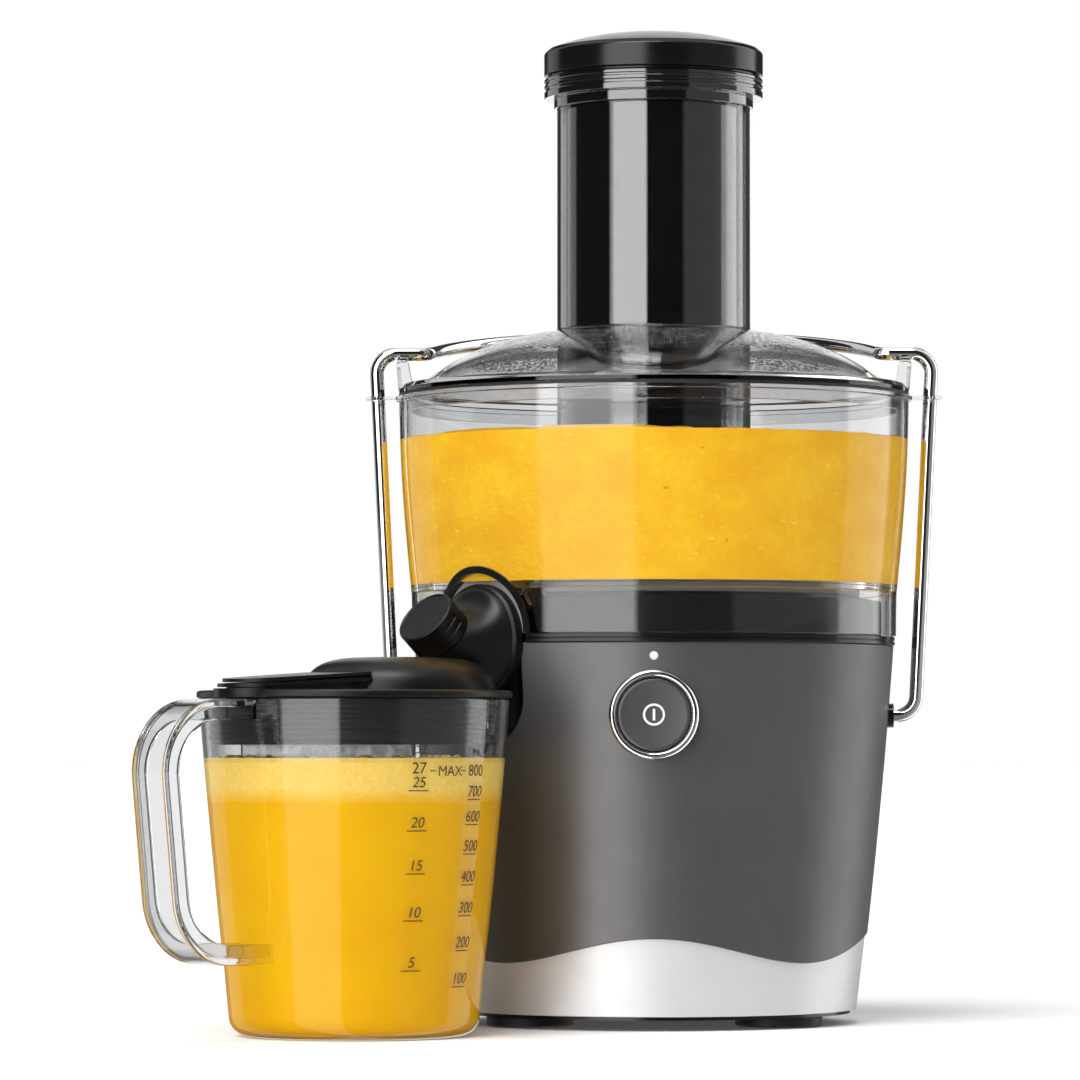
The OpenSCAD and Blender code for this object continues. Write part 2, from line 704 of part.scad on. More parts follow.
module lid_seal() {
    color([0.2, 0.2, 0.2]) at_spindle() tube(104.6, 101.7, rim_z, rim_z + 1.2);
}

// ---- pusher ----

module pusher_body() {
    color([0.05, 0.05, 0.05]) at_spindle() lathe([[0, pusher_low_z], [pusher_r - 1, pusher_low_z],
        [pusher_r, pusher_low_z + 1], [pusher_r, chute_top_z + gap], [pusher_r - 2.5, chute_top_z + gap],
        [pusher_r - 2.5, pusher_low_z + 2.5], [0, pusher_low_z + 2.5]]);
}

module pusher_cap() {
    skirt_low = chute_top_z + gap;
    crown_low = skirt_low + cap_h;
    color([0.06, 0.06, 0.06]) at_spindle() lathe(concat([[0, skirt_low], [cap_r - 1, skirt_low],
        [cap_r, skirt_low + 1]], [for (a = [0:10:90]) [cap_r * cos(a) * (1 - 0.05 * sin(a)),
        crown_low + cap_crown * sin(a)]]));
}

// ---- locking arm ----

// One side of the rod's centreline, from the lower bend up to the turn back to the crossbar.
function arm_side_path() = let (
        low_set = rod_bend * tan((90 - leg_lean) / 2),
        top_set = rod_bend * tan((90 + leg_lean) / 2),
        foot = [[leg_low_x - low_set - 3, pivot_z]],
        low_bend = arc([leg_low_x - low_set, pivot_z + rod_bend], rod_bend, -90, -leg_lean, 8),
        top_bend = arc([leg_top_x - top_set, arm_top_z - rod_bend], rod_bend, -leg_lean, 90, 8),
        turn = arc([arm_turn_x, arm_turn_r], arm_turn_r, 270, 180 + arm_arc_a, 6))
    concat([for (p = concat(foot, low_bend, top_bend)) [p[0], 0, p[1]]], [for (p = turn) on_slope(p)]);

// A point of the sloping plane that holds the crossbar, whose front edge is the top run.
function on_slope(p) = [p[0], p[1] * cos(arm_slope), arm_top_z + p[1] * sin(arm_slope)];

// The whole centreline, from the left leg's foot over the crossbar to the right leg's foot.
function arm_path() = let (side = arm_side_path(), n = len(side))
    concat([for (p = side) [-p[0], p[1], p[2]]],
        [for (i = [1:15]) on_slope(arc([0, arm_arc_y], arm_arc_r, 180 - arm_arc_a, arm_arc_a, 16)[i])],
        [for (i = [n - 1:-1:0]) side[i]]);

function unit(v) = v / norm(v);

// A round bar swept along a path whose two ends run along X.
module swept_rod(p, r, sides) {
    n = len(p);
    skin = [for (i = [0:n - 1])
        let (t = i == 0 || i == n - 1 ? [-1, 0, 0] : unit(p[i + 1] - p[i - 1]),
            u = unit(cross(t, [0, -1, 1])), w = cross(t, u))
        for (k = [0:sides - 1]) p[i] + r * (cos(360 * k / sides) * u + sin(360 * k / sides) * w)];
    walls = [for (i = [0:n - 2], k = [0:sides - 1])
        let (m = (k + 1) % sides, a = sides * i, b = a + sides)
        each [[a + k, b + k, a + m], [a + m, b + k, b + m]]];
    polyhedron(skin, concat(walls, [[for (k = [0:sides - 1]) k],
        [for (k = [sides - 1:-1:0]) sides * (n - 1) + k]]));
}

module locking_arm() {
    journal = leg_low_x - rod_bend * tan((90 - leg_lean) / 2) - 1.5 - cam_x;
    color([0.85, 0.85, 0.87]) at_spindle() {
        swept_rod(arm_path(), rod_r, 16);
        on_both_sides() translate([0, 0, pivot_z]) bar_x(rod_r - 0.1, cam_x, journal);
    }
}

// Cams pinned to the rod's inner ends; the one on the right holds the interlock switch closed.
module arm_cams() {
    color([0.8, 0.8, 0.78]) at_spindle() on_both_sides() translate([0, 0, pivot_z]) {
        bar_x(8.5, cam_x - 5, 5);
        intersection() {
            bar_x(11.2, cam_x - 5, 5);
            translate([cam_x - 5, -4, 0]) cube([5, 8, 14]);
        }
    }
}

module pivot_bushings() {
    color([0.2, 0.2, 0.2]) at_spindle() on_both_sides() translate([0, 0, pivot_z]) difference() {
        bar_x(4.95, cam_x + 1, 12);
        bar_x(rod_r + fit, cam_x, 14);
    }
}

module cord_gland() {
    color([0.08, 0.08, 0.08]) at_spindle() translate([0, 0, 50]) difference() {
        union() {
            bar_y(5.9, 80, 22);
            bar_y(9, 90, 3);
        }
        bar_y(3.6, 79, 30);
    }
}

// ---- jug ----

module jug() {
    outer = concat([[0, 0], [jug_foot_r - 8, 0]], arc([jug_foot_r - 8, 8], 8, -75, 0, 5),
        [[jug_r(60) + 0.5, 60], [jug_r(100) + 0.5, 100], [jug_rim_r, jug_h]]);
    inner = concat([[jug_rim_r - jug_wall, jug_h], [jug_r(100) + 0.5 - jug_wall, 100],
        [jug_r(60) + 0.5 - jug_wall, 60]], arc([jug_foot_r - 8, 9], 8 - jug_wall, 0, -90, 5), [[0, 9 - 8 + jug_wall]]);
    color([0.85, 0.9, 0.92, 0.4]) at_jug() lathe(concat(outer, inner));
}

// The handle's outline, inset from its outer face: a loop that leans in towards the foot.
module handle_outline(inset, near) hull() {
    for (p = [[handle_reach - 28, 102.5], [handle_reach - 33, 57]])
        translate(p) circle(r = 28 - inset, $fn = 48);
    translate([near, 128.5 - inset]) square([4, 2]);
    translate([near - 8, 29 + inset]) square([4, 2]);
}

module jug_handle() {
    face_t = 2.6;
    color([0.85, 0.9, 0.92, 0.4]) at_jug() difference() {
        translate([0, handle_w / 2, 0]) rotate([90, 0, 0]) linear_extrude(handle_w) difference() {
            handle_outline(0, 56);
            handle_outline(8, 40);
        }
        translate([0, handle_w / 2 - face_t, 0]) rotate([90, 0, 0])
            linear_extrude(handle_w - 2 * face_t) difference() {
                handle_outline(face_t, 56);
                handle_outline(9, 40);
            }
        lathe([[0, 0], [jug_foot_r, 0], [jug_foot_r, 8], [jug_r(60) + 0.5, 60], [jug_r(100) + 0.5, 100],
            [jug_rim_r, jug_h], [jug_rim_r, jug_h + 2], [0, jug_h + 2]]);
    }
}

// The notch that lets the lid and jug clear the spout.
module spout_notch() translate([-70, -notch_half, 90]) cube([44, 2 * notch_half, 60]);

module dome_shape(inset) lathe(concat([[0, lid_top_z]], [for (a = [0:15:90])
    [(dome_r - inset) * (0.25 * cos(a) + 0.75 * pow(cos(a), 0.5)), lid_top_z + (dome_h - inset) * sin(a)]]));

module jug_lid() {
    color([0.06, 0.06, 0.06]) at_jug() difference() {
        union() {
            translate([0, 0, lid_rim_z]) cylinder(r = 61.5, h = lid_top_z - lid_rim_z);
            tube(55.6, 53.4, 113, lid_rim_z + 1);
            hull() {
                translate([15, -20, lid_top_z - 1]) cube([13, 40, 7]);
                translate([52, 0, lid_top_z - 1]) cylinder(r = 15, h = 4);
            }
        }
        translate([dome_x, 0, lid_rim_z - 1]) cylinder(r = dome_r - hood_wall, h = 6);
        spout_notch();
    }
}

// The hood over the spout's mouth, moulded in one with the lid.
module lid_hood() {
    color([0.06, 0.06, 0.06]) at_jug() difference() {
        translate([dome_x, 0, 0]) dome_shape(0);
        translate([dome_x, 0, -0.01]) dome_shape(hood_wall);
        spout_notch();
    }
}

module jug_lid_seal() {
    color([0.1, 0.1, 0.1]) at_jug() difference() {
        union() {
            tube(56.4, 55.7, 114, 129);
            for (z = [115, 119, 123, 127]) tube(56.9, 55.7, z, z + 1.6);
        }
        spout_notch();
    }
}

// A translucent plate that hangs across the jug and holds the froth back.
module froth_separator() {
    color([0.9, 0.92, 0.92, 0.5]) at_jug() intersection() {
        translate([14, -50, 96]) cube([2, 100, lid_rim_z - 96]);
        lathe([[0, 90], [jug_r(90) - 5, 90], [jug_r(112) - 6, 112], [53.2, 113], [53.2, 140], [0, 140]]);
    }
}

feet();
base_screws();
base_plate();
silver_band();
body_shell();
recess_liner();
top_deck();
trim_ring();
button_ring();
led_lens();
control_board();
power_switch();
motor_stator();
field_coils();
upper_bracket();
lower_bracket();
bearings();
motor_mounts();
motor_screws();
brush_holders();
carbon_brushes();
cord_gland();
interlock_switch();
pivot_bushings();
shaft_seal();
bowl();
bowl_floor();
stop_ears();
juice_collector();
bowl_seal();
spout_collar();
spout_seal();
spout_body();
lid();
feed_chute();
lid_seal();
motor_shaft();
rotor_core();
rotor_winding();
commutator();
cooling_fan();
drive_coupling();
sieve_hub();
sieve_mesh();
grater_disc();
sieve_rim();
pusher_body();
pusher_cap();
locking_arm();
arm_cams();
power_button();
button_spring();
drip_stop_knob();
knob_oring();
jug();
jug_handle();
jug_lid();
lid_hood();
jug_lid_seal();
froth_separator();
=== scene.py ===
"""Centrifugal juicer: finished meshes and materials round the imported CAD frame.

Shapes are drawn in millimetres about the spindle, the spout or the jug, and placed in metres.
"""

import json
import math
import random

import bmesh
import bpy
from mathutils import Matrix, Vector


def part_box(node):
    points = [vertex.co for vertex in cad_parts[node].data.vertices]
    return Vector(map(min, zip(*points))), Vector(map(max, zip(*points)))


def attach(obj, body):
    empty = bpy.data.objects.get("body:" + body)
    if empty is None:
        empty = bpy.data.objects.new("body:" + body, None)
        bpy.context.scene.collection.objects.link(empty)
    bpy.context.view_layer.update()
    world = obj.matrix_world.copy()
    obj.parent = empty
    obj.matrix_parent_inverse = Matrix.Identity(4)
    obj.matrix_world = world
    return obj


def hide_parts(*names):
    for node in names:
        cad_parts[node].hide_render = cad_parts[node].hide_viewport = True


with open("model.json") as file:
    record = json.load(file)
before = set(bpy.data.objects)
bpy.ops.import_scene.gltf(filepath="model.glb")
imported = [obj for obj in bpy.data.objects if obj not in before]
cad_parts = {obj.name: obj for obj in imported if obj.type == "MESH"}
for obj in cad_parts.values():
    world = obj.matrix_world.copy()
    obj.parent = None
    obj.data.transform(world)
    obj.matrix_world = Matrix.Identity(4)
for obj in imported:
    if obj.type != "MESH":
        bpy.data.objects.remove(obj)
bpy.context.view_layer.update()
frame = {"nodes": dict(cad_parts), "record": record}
random.seed(7)

# ---------------------------------------------------------------- places

SEGS = 224


def middle(node):
    lo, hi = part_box(node)
    return Vector(((lo.x + hi.x) / 2, (lo.y + hi.y) / 2, 0))


def turned(degrees, axis):
    return Matrix.Rotation(math.radians(degrees), 4, axis)


def at(x=0, y=0, z=0):
    return Matrix.Translation((x, y, z))


# The spout, the jug and its handle lie along one line from the spindle, at this bearing.
SPOUT_TURN = 225
MILLIMETRES = Matrix.Scale(0.001, 4)
SPIN = Matrix.Translation(middle("motor_shaft")) @ MILLIMETRES
SPOUT = SPIN @ turned(SPOUT_TURN, "Z")
JUG = Matrix.Translation(middle("jug")) @ MILLIMETRES @ turned(SPOUT_TURN, "Z")
KNOB_TILT = -40
KNOB = SPOUT @ at(118.807, 0, 155.886) @ turned(KNOB_TILT, "Y")
ALONG_X = turned(90, "Y")
FACING = turned(90, "X")
PIVOT_Z, BUTTON_Z, LAMP_Z, ARCH_Z, SPOUT_Z, PIPE_Z = 125, 124.8, 148, 157.5, 154.4, 160
NOZZLE_X = 114.5
PULP_TOP, JUICE_TOP = 237.4, 108

# ---------------------------------------------------------------- camera

EYE = (0, -2350, 111)
LOOKS_AT = (-46.7, 0, 197)
camera = bpy.data.objects.new("camera", bpy.data.cameras.new("camera"))
camera.data.lens = 191.1
camera.data.clip_start = 0.05
camera.location = SPIN @ Vector(EYE)
aim = SPIN @ Vector(LOOKS_AT) - camera.location
camera.rotation_euler = aim.to_track_quat("-Z", "Y").to_euler()
bpy.context.scene.collection.objects.link(camera)
bpy.context.scene.camera = camera

# ---------------------------------------------------------------- node helpers


class Tree:
    """Short names for building a node tree."""

    def __init__(self, tree):
        self.tree = tree
        self.place = None

    def add(self, kind, **settings):
        node = self.tree.nodes.new(kind)
        for key, value in settings.items():
            setattr(node, key, value)
        return node

    def link(self, source, target):
        self.tree.links.new(source, target)

    def where(self):
        if self.place is None:
            self.place = self.add("ShaderNodeTexCoord").outputs["Object"]
        return self.place

    def noise(self, size, detail=3.0, stretch=None):
        """Noise whose features are about size metres across."""
        node = self.add("ShaderNodeTexNoise")
        node.inputs["Scale"].default_value = 1 / size
        node.inputs["Detail"].default_value = detail
        source = self.where()
        if stretch:
            mapping = self.add("ShaderNodeMapping")
            mapping.inputs["Scale"].default_value = stretch
            self.link(source, mapping.inputs["Vector"])
            source = mapping.outputs["Vector"]
        self.link(source, node.inputs["Vector"])
        return node.outputs["Fac"]

    def spread(self, value, lo, hi, start=0.3, end=0.7):
        node = self.add("ShaderNodeMapRange")
        for key, number in zip(("From Min", "From Max", "To Min", "To Max"), (start, end, lo, hi)):
            node.inputs[key].default_value = number
        self.link(value, node.inputs["Value"])
        return node.outputs["Result"]

    def math(self, operation, a, b=None):
        node = self.add("ShaderNodeMath", operation=operation)
        for socket, value in zip(node.inputs, (a, b)):
            if isinstance(value, (int, float)):
                socket.default_value = value
            elif value is not None:
                self.link(value, socket)
        return node.outputs[0]

    def mix(self, factor, a, b):
        """Colour a where factor is 0 and b where it is 1. Each is a colour or a socket."""
        node = self.add("ShaderNodeMix", data_type="RGBA")
        self.link(factor, node.inputs[0])
        for socket, value in ((node.inputs[6], a), (node.inputs[7], b)):
            if isinstance(value, (tuple, list)):
                socket.default_value = (*value[:3], 1)
            else:
                self.link(value, socket)
        return node.outputs[2]

    def blend(self, factor, a, b):
        """The number a where factor is 0 and b where it is 1."""
        node = self.add("ShaderNodeMix", data_type="FLOAT")
        for socket, value in ((node.inputs[0], factor), (node.inputs[2], a), (node.inputs[3], b)):
            if isinstance(value, (int, float)):
                socket.default_value = value
            else:
                self.link(value, socket)
        return node.outputs[0]

    def axes(self, source=None):
        """The X, Y and Z of a point in space, which is the shaded one if no source is given."""
        node = self.add("ShaderNodeSeparateXYZ")
        self.link(source or self.where(), node.inputs[0])
        return [node.outputs[axis] for axis in "XYZ"]

    def shaders(self, factor, a, b):
        """Shader a where factor is 0 and b where it is 1."""
        node = self.add("ShaderNodeMixShader")
        for source, socket in zip((factor, a, b), node.inputs):
            self.link(source, socket)
        return node.outputs[0]

    def surface(self, shader):
        self.link(shader, self.tree.nodes["Material Output"].inputs["Surface"])

    def bump(self, height, depth, target, under=None):
        """Bumps depth metres high, on top of the bumps that give the normal under."""
        node = self.add("ShaderNodeBump")
        node.inputs["Strength"].default_value = 1.0
        node.inputs["Distance"].default_value = depth
        self.link(height, node.inputs["Height"])
        if under is not None:
            self.link(under, node.inputs["Normal"])
        self.link(node.outputs["Normal"], target)
        return node.outputs["Normal"]


def new_material(name):
    material = bpy.data.materials.new(name)
    material.use_nodes = True
    tree = Tree(material.node_tree)
    return material, tree, material.node_tree.nodes["Principled BSDF"]


def scaled(colour, factor):
    return tuple(min(1.0, c * factor) for c in colour)


def finish(name, colour, rough, metal=0.0, cloud=0.1, cloud_size=0.015, smear=0.06, grain=0.0,
           grain_size=0.0006, stretch=None, **sockets):
    """A solid finish: cloud is the colour's drift, smear the roughness's and grain the bumps' height."""
    material, tree, shader = new_material(name)
    drift = tree.noise(cloud_size, 4.0)
    tone = tree.spread(drift, 0.0, 1.0)
    fine = tree.noise(grain_size, 2.0, stretch)
    colours = tree.mix(tone, scaled(colour, 1 - cloud), scaled(colour, 1 + cloud))
    speck = tree.spread(fine, 0.0, 1.0)
    colours = tree.mix(tree.math("MULTIPLY", speck, 0.35), colours, scaled(colour, 1 - 1.6 * cloud))
    tree.link(colours, shader.inputs["Base Color"])
    wear = tree.spread(tree.noise(cloud_size * 0.45, 5.0), rough - smear, rough + smear)
    tree.link(wear, shader.inputs["Roughness"])
    shader.inputs["Metallic"].default_value = metal
    for key, value in sockets.items():
        shader.inputs[key.replace("_", " ")].default_value = value
    if grain:
        tree.bump(fine, grain, shader.inputs["Normal"])
    return material


def clear(name, tint, rough=0.0, ripple=0.000004, ior=1.5, pebbled=None):
    """Clear plastic: refracts what the camera sees, and lets lamps through to what it covers.

    The optional pebbled is the least and greatest radius about the spindle of a band of fine moulded grain.
    """
    material, tree, shader = new_material(name)
    shader.inputs["Base Color"].default_value = (*tint, 1)
    shader.inputs["Transmission Weight"].default_value = 1.0
    shader.inputs["IOR"].default_value = ior
    if rough:
        tree.link(tree.spread(tree.noise(0.004, 4.0), rough * 0.7, rough * 1.3), shader.inputs["Roughness"])
    else:
        shader.inputs["Roughness"].default_value = 0.0
    smooth = tree.bump(tree.noise(0.012, 1.0), ripple, shader.inputs["Normal"])
    if pebbled:
        *level, height = tree.axes()
        across, along = (tree.math("SUBTRACT", level[k], SPIN.translation[k]) for k in (0, 1))
        reach = tree.math("SQRT", tree.math("ADD", tree.math("MULTIPLY", across, across),
                                            tree.math("MULTIPLY", along, along)))
        band = tree.math("MULTIPLY", tree.spread(reach, 0, 1, pebbled[0], pebbled[0] + 0.001),
                         tree.spread(reach, 1, 0, pebbled[1] - 0.003, pebbled[1]))
        band = tree.math("MULTIPLY", band, tree.spread(height, 0, 1, 0.262, 0.264))
        cells = tree.add("ShaderNodeTexVoronoi")
        cells.inputs["Scale"].default_value = 620
        tree.link(tree.where(), cells.inputs["Vector"])
        dots = tree.spread(cells.outputs["Distance"], 1, 0, 0.1, 0.45)
        tree.bump(tree.math("MULTIPLY", dots, band), 0.0007, shader.inputs["Normal"], smooth)
    path = tree.add("ShaderNodeLightPath")
    see_through = tree.add("ShaderNodeBsdfTransparent")
    see_through.inputs["Color"].default_value = (*[0.5 + 0.5 * c for c in tint], 1)
    shown = shader.outputs[0]
    for kind in ("Is Shadow Ray", "Is Diffuse Ray"):
        shown = tree.shaders(path.outputs[kind], shown, see_through.outputs[0])
    tree.surface(shown)
    return material


# ---------------------------------------------------------------- mesh helpers


def soften(outline, fillet, steps=3):
    """A closed outline of (x, y) or (x, y, fillet) corners with its corners rounded."""
    out = []
    for i, corner in enumerate(outline):
        a, b = Vector(outline[i - 1][:2]), Vector(corner[:2])
        c = Vector(outline[(i + 1) % len(outline)][:2])
        radius = corner[2] if len(corner) > 2 else fillet
        u, v = a - b, c - b
        if u.length < 1e-6 or v.length < 1e-6:
            continue
        turn = math.pi - u.angle(v)
        if radius <= 0 or turn < 0.2 or b.x < 1e-6:
            out.append(b)
            continue
        reach = min(radius * math.tan(turn / 2), 0.46 * u.length, 0.46 * v.length)
        p, q = b + u.normalized() * reach, b + v.normalized() * reach
        for k in range(steps + 1):
            t = k / steps
            out.append(p * (1 - t) ** 2 + b * (2 * t * (1 - t)) + q * t * t)
    return out


def arc(centre, radius, a0, a1, steps):
    angles = [math.radians(a0 + (a1 - a0) * i / steps) for i in range(steps + 1)]
    return [(centre[0] + radius * math.cos(a), centre[1] + radius * math.sin(a)) for a in angles]


def bands(rows, count, first=0):
    """The quads between closed rows of count points each, numbered from first."""
    faces = []
    for i in range(rows - 1):
        low, high = first + i * count, first + (i + 1) * count
        faces += [(low + k, low + (k + 1) % count, high + (k + 1) % count, high + k) for k in range(count)]
    return faces


def build(name, verts, faces, place, uvs=None, weld=True):
    """An object in metres from vertices in millimetres."""
    mesh = bpy.data.meshes.new(name)
    mesh.from_pydata([tuple(v) for v in verts], [], faces)
    if uvs is not None:
        layer = mesh.uv_layers.new(name="UVMap")
        flat = [c for face in uvs for uv in face for c in uv]
        layer.data.foreach_set("uv", flat)
    bm = bmesh.new()
    bm.from_mesh(mesh)
    if weld:
        bmesh.ops.remove_doubles(bm, verts=bm.verts, dist=1e-4)
        bmesh.ops.dissolve_degenerate(bm, edges=bm.edges, dist=1e-5)
    bmesh.ops.recalc_face_normals(bm, faces=bm.faces)
    bmesh.ops.transform(bm, matrix=place, verts=bm.verts)
    bm.to_mesh(mesh)
    bm.free()
    obj = bpy.data.objects.new(name, mesh)
    bpy.context.scene.collection.objects.link(obj)
    return obj


def ring_of(name, loop_at, place=SPIN, segs=SEGS):
    """A closed ring through the loop of (radius, height) points that loop_at gives for each angle."""
    loops = [loop_at(2 * math.pi * i / segs) for i in range(segs)]
    count = len(loops[0])
    verts, faces, uvs = [], [], []
    reach = max(p[0] for p in loops[0])
    walk = [0.0]
    for k in range(count):
        walk.append(walk[-1] + (Vector(loops[0][(k + 1) % count]) - Vector(loops[0][k])).length)
    for i, loop in enumerate(loops):
        c, s = math.cos(2 * math.pi * i / segs), math.sin(2 * math.pi * i / segs)
        verts += [(p[0] * c, p[0] * s, p[1]) for p in loop]
    for i in range(segs):
        j = (i + 1) % segs
        u0, u1 = 2 * math.pi * reach * i / segs, 2 * math.pi * reach * (i + 1) / segs
        for k in range(count):
            m = (k + 1) % count
            faces.append((i * count + k, j * count + k, j * count + m, i * count + m))
            uvs.append([(u * 0.001, v * 0.001) for u, v in
                        ((u0, walk[k]), (u1, walk[k]), (u1, walk[k + 1]), (u0, walk[k + 1]))])
    return build(name, verts, faces, place, uvs)


def lathe(name, outline, place=SPIN, fillet=0.4, segs=SEGS, steps=3):
    points = [tuple(p) for p in soften(outline, fillet, steps)]
    return ring_of(name, lambda a: points, place, segs)


def between(name, low, high, place):
    """A closed body between two flat outlines with the same number of points."""
    n = len(low)
    ends = [tuple(range(n)), tuple(range(2 * n - 1, n - 1, -1))]
    return build(name, low + high, ends + bands(2, n), place)


def loft(name, rings, place):
    """A closed body through rings of points, with flat ends."""
    count = len(rings[0])
    verts = [p for r in rings for p in r]
    ends = [tuple(range(count)), tuple(range(len(verts) - 1, len(verts) - 1 - count, -1))]
    return build(name, verts, bands(len(rings), count) + ends, place)


def prism(name, outline, y0, y1, place, fillet=0.0, bevel=0.0):
    """An outline in X and Z pushed from y0 to y1."""
    points = soften(outline, fillet, 4) if fillet else [Vector(p[:2]) for p in outline]
    obj = between(name, [(p.x, y0, p.y) for p in points], [(p.x, y1, p.y) for p in points], place)
    if bevel:
        round_edges(obj, bevel)
    return obj


def round_edges(obj, width, steps=2, angle=35):
    """Rounds the object's sharp edges by width millimetres."""
    mod = obj.modifiers.new("round", "BEVEL")
    mod.width = width * 0.001
    mod.segments = steps
    mod.limit_method = "ANGLE"
    mod.angle_limit = math.radians(angle)
    mod.use_clamp_overlap = True
    apply_all(obj)


def rod(name, radius, x0, length, place, segs=96):
    """A plain bar along X, for cutting."""
    shape = place @ at(x0) @ ALONG_X
    return lathe(name, [(0, 0), (radius, 0), (radius, length), (0, length)], shape, 0, segs)


def apply_all(obj):
    graph = bpy.context.evaluated_depsgraph_get()
    mesh = bpy.data.meshes.new_from_object(obj.evaluated_get(graph))
    obj.modifiers.clear()
    obj.data = mesh


def join(obj, others, operation="UNION"):
    """Adds the others to obj, or takes them away, and drops them."""
    for other in others:
        mod = obj.modifiers.new("join", "BOOLEAN")
        mod.operation = operation
        mod.solver = "EXACT"
        mod.object = other
    apply_all(obj)
    for other in others:
        bpy.data.objects.remove(other)
    return obj


def cut(obj, *others):
    return join(obj, others, "DIFFERENCE")


def done(obj, material, body, nodes=(), sharp=32):
    """Shades obj, gives it its material and makes it ride on a body."""
    mesh = obj.data
    mesh.materials.clear()
    mesh.materials.append(material)
    mesh.polygons.foreach_set("material_index", [0] * len(mesh.polygons))
    mesh.shade_smooth()
    mesh.set_sharp_from_angle(angle=math.radians(sharp))
    mod = obj.modifiers.new("even", "WEIGHTED_NORMAL")
    mod.keep_sharp = True
    mod.weight = 60
    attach(obj, body)
    if nodes:
        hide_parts(*nodes)
    return obj


def refinish(obj, material, place, holds):
    """Gives another finish to the faces whose corners, seen from place, all pass holds(radius, height)."""
    obj.data.materials.append(material)
    back = place.inverted()
    for face in obj.data.polygons:
        spots = [back @ obj.data.vertices[v].co for v in face.vertices]
        if all(holds(math.hypot(p.x, p.y), p.z) for p in spots):
            face.material_index = len(obj.data.materials) - 1


def sweep(name, path, outline, place, up):
    """An outline of (side, out) points swept along a path in a plane whose normal is up."""
    rings = []
    up = Vector(up).normalized()
    for i, p in enumerate(path):
        along = Vector(path[min(i + 1, len(path) - 1)]) - Vector(path[max(i - 1, 0)])
        out = along.normalized().cross(up).normalized()
        rings.append([Vector(p) + up * s + out * o for s, o in outline])
    return loft(name, rings, place)


def bent_bar(name, path, radius, place, sides):
    """A round bar along a path in space, its frame carried without twist."""
    rings = []
    path = [Vector(p) for p in path]
    side = None
    for i, p in enumerate(path):
        along = (path[min(i + 1, len(path) - 1)] - path[max(i - 1, 0)]).normalized()
        if side is None:
            side = along.orthogonal().normalized()
        side = (side - along * side.dot(along)).normalized()
        other = along.cross(side)
        turns = [2 * math.pi * k / sides for k in range(sides)]
        rings.append([p + radius * (math.cos(t) * side + math.sin(t) * other) for t in turns])
    return loft(name, rings, place)


# ---------------------------------------------------------------- materials

SHELL = finish("shell_paint", (0.124, 0.122, 0.122), 0.4, 0.6, cloud=0.05, cloud_size=0.03, smear=0.03,
               grain=0.000012, grain_size=0.0004)
CAP_PAINT = finish("button_paint", (0.075, 0.072, 0.071), 0.36, 0.35, cloud=0.05, cloud_size=0.01, smear=0.04,
                   grain=0.00001, grain_size=0.0004)
SILVER = finish("silver_paint", (0.73, 0.735, 0.74), 0.4, 0.3, cloud=0.03, cloud_size=0.03, smear=0.04,
                grain=0.00001, grain_size=0.00035)
MATTE = finish("black_moulded", (0.005, 0.005, 0.0052), 0.36, cloud=0.15, cloud_size=0.02, smear=0.05,
               grain=0.000015, grain_size=0.0006, Specular_IOR_Level=0.3)
SATIN = finish("black_satin", (0.005, 0.005, 0.0052), 0.19, cloud=0.15, cloud_size=0.02, smear=0.04,
               grain=0.000006, grain_size=0.0006, Specular_IOR_Level=0.4)
GLOSS = finish("black_gloss", (0.004, 0.004, 0.0045), 0.045, cloud=0.1, cloud_size=0.03, smear=0.015,
               Specular_IOR_Level=0.9, Coat_Weight=1.0, Coat_Roughness=0.02, Coat_IOR=1.7)
RUBBER = finish("black_rubber", (0.012, 0.012, 0.012), 0.62, cloud=0.2, cloud_size=0.01, smear=0.08,
                grain=0.00002, grain_size=0.0005)
GREY_RUBBER = finish("grey_silicone", (0.35, 0.35, 0.35), 0.4, cloud=0.1, cloud_size=0.01, smear=0.08,
                     grain=0.00001, grain_size=0.0005)
CHROME = finish("chrome", (0.86, 0.86, 0.87), 0.045, 1.0, cloud=0.02, cloud_size=0.02, smear=0.02)
STEEL = finish("turned_steel", (0.55, 0.55, 0.56), 0.3, 1.0, cloud=0.08, cloud_size=0.008, smear=0.08,
               grain=0.000006, grain_size=0.0004, stretch=(1, 1, 12))
CAST = finish("cast_alloy", (0.42, 0.42, 0.42), 0.5, 0.9, cloud=0.12, cloud_size=0.006, smear=0.1,
              grain=0.00005, grain_size=0.0012)
IRON = finish("lamination_steel", (0.14, 0.14, 0.15), 0.45, 0.8, cloud=0.15, cloud_size=0.01, smear=0.08,
              grain=0.00004, grain_size=0.0006, stretch=(0.02, 0.02, 1))
COPPER = finish("enamelled_copper", (0.55, 0.22, 0.08), 0.3, 0.85, cloud=0.2, cloud_size=0.003, smear=0.08,
                grain=0.00008, grain_size=0.0009, stretch=(0.05, 0.05, 1))
BRASS = finish("bright_brass", (0.62, 0.45, 0.18), 0.28, 1.0, cloud=0.12, cloud_size=0.006, smear=0.08)
CARBON = finish("pressed_carbon", (0.03, 0.03, 0.032), 0.6, cloud=0.3, cloud_size=0.001, smear=0.1,
                grain=0.00002, grain_size=0.0004)
BOARD = finish("green_board", (0.02, 0.13, 0.05), 0.35, cloud=0.4, cloud_size=0.004, smear=0.1,
               grain=0.00003, grain_size=0.0015)
WHITE = finish("white_print", (0.8, 0.8, 0.79), 0.35, cloud=0.04, cloud_size=0.002, smear=0.06)
INK = finish("dark_ink", (0.035, 0.022, 0.012), 0.5, cloud=0.15, cloud_size=0.001, smear=0.08)
FOAM = finish("froth_film", (0.93, 0.72, 0.24), 0.25, cloud=0.1, cloud_size=0.003)
SMOKE = (0.8, 0.805, 0.81)
CLEAR = clear("clear_bowl", SMOKE)
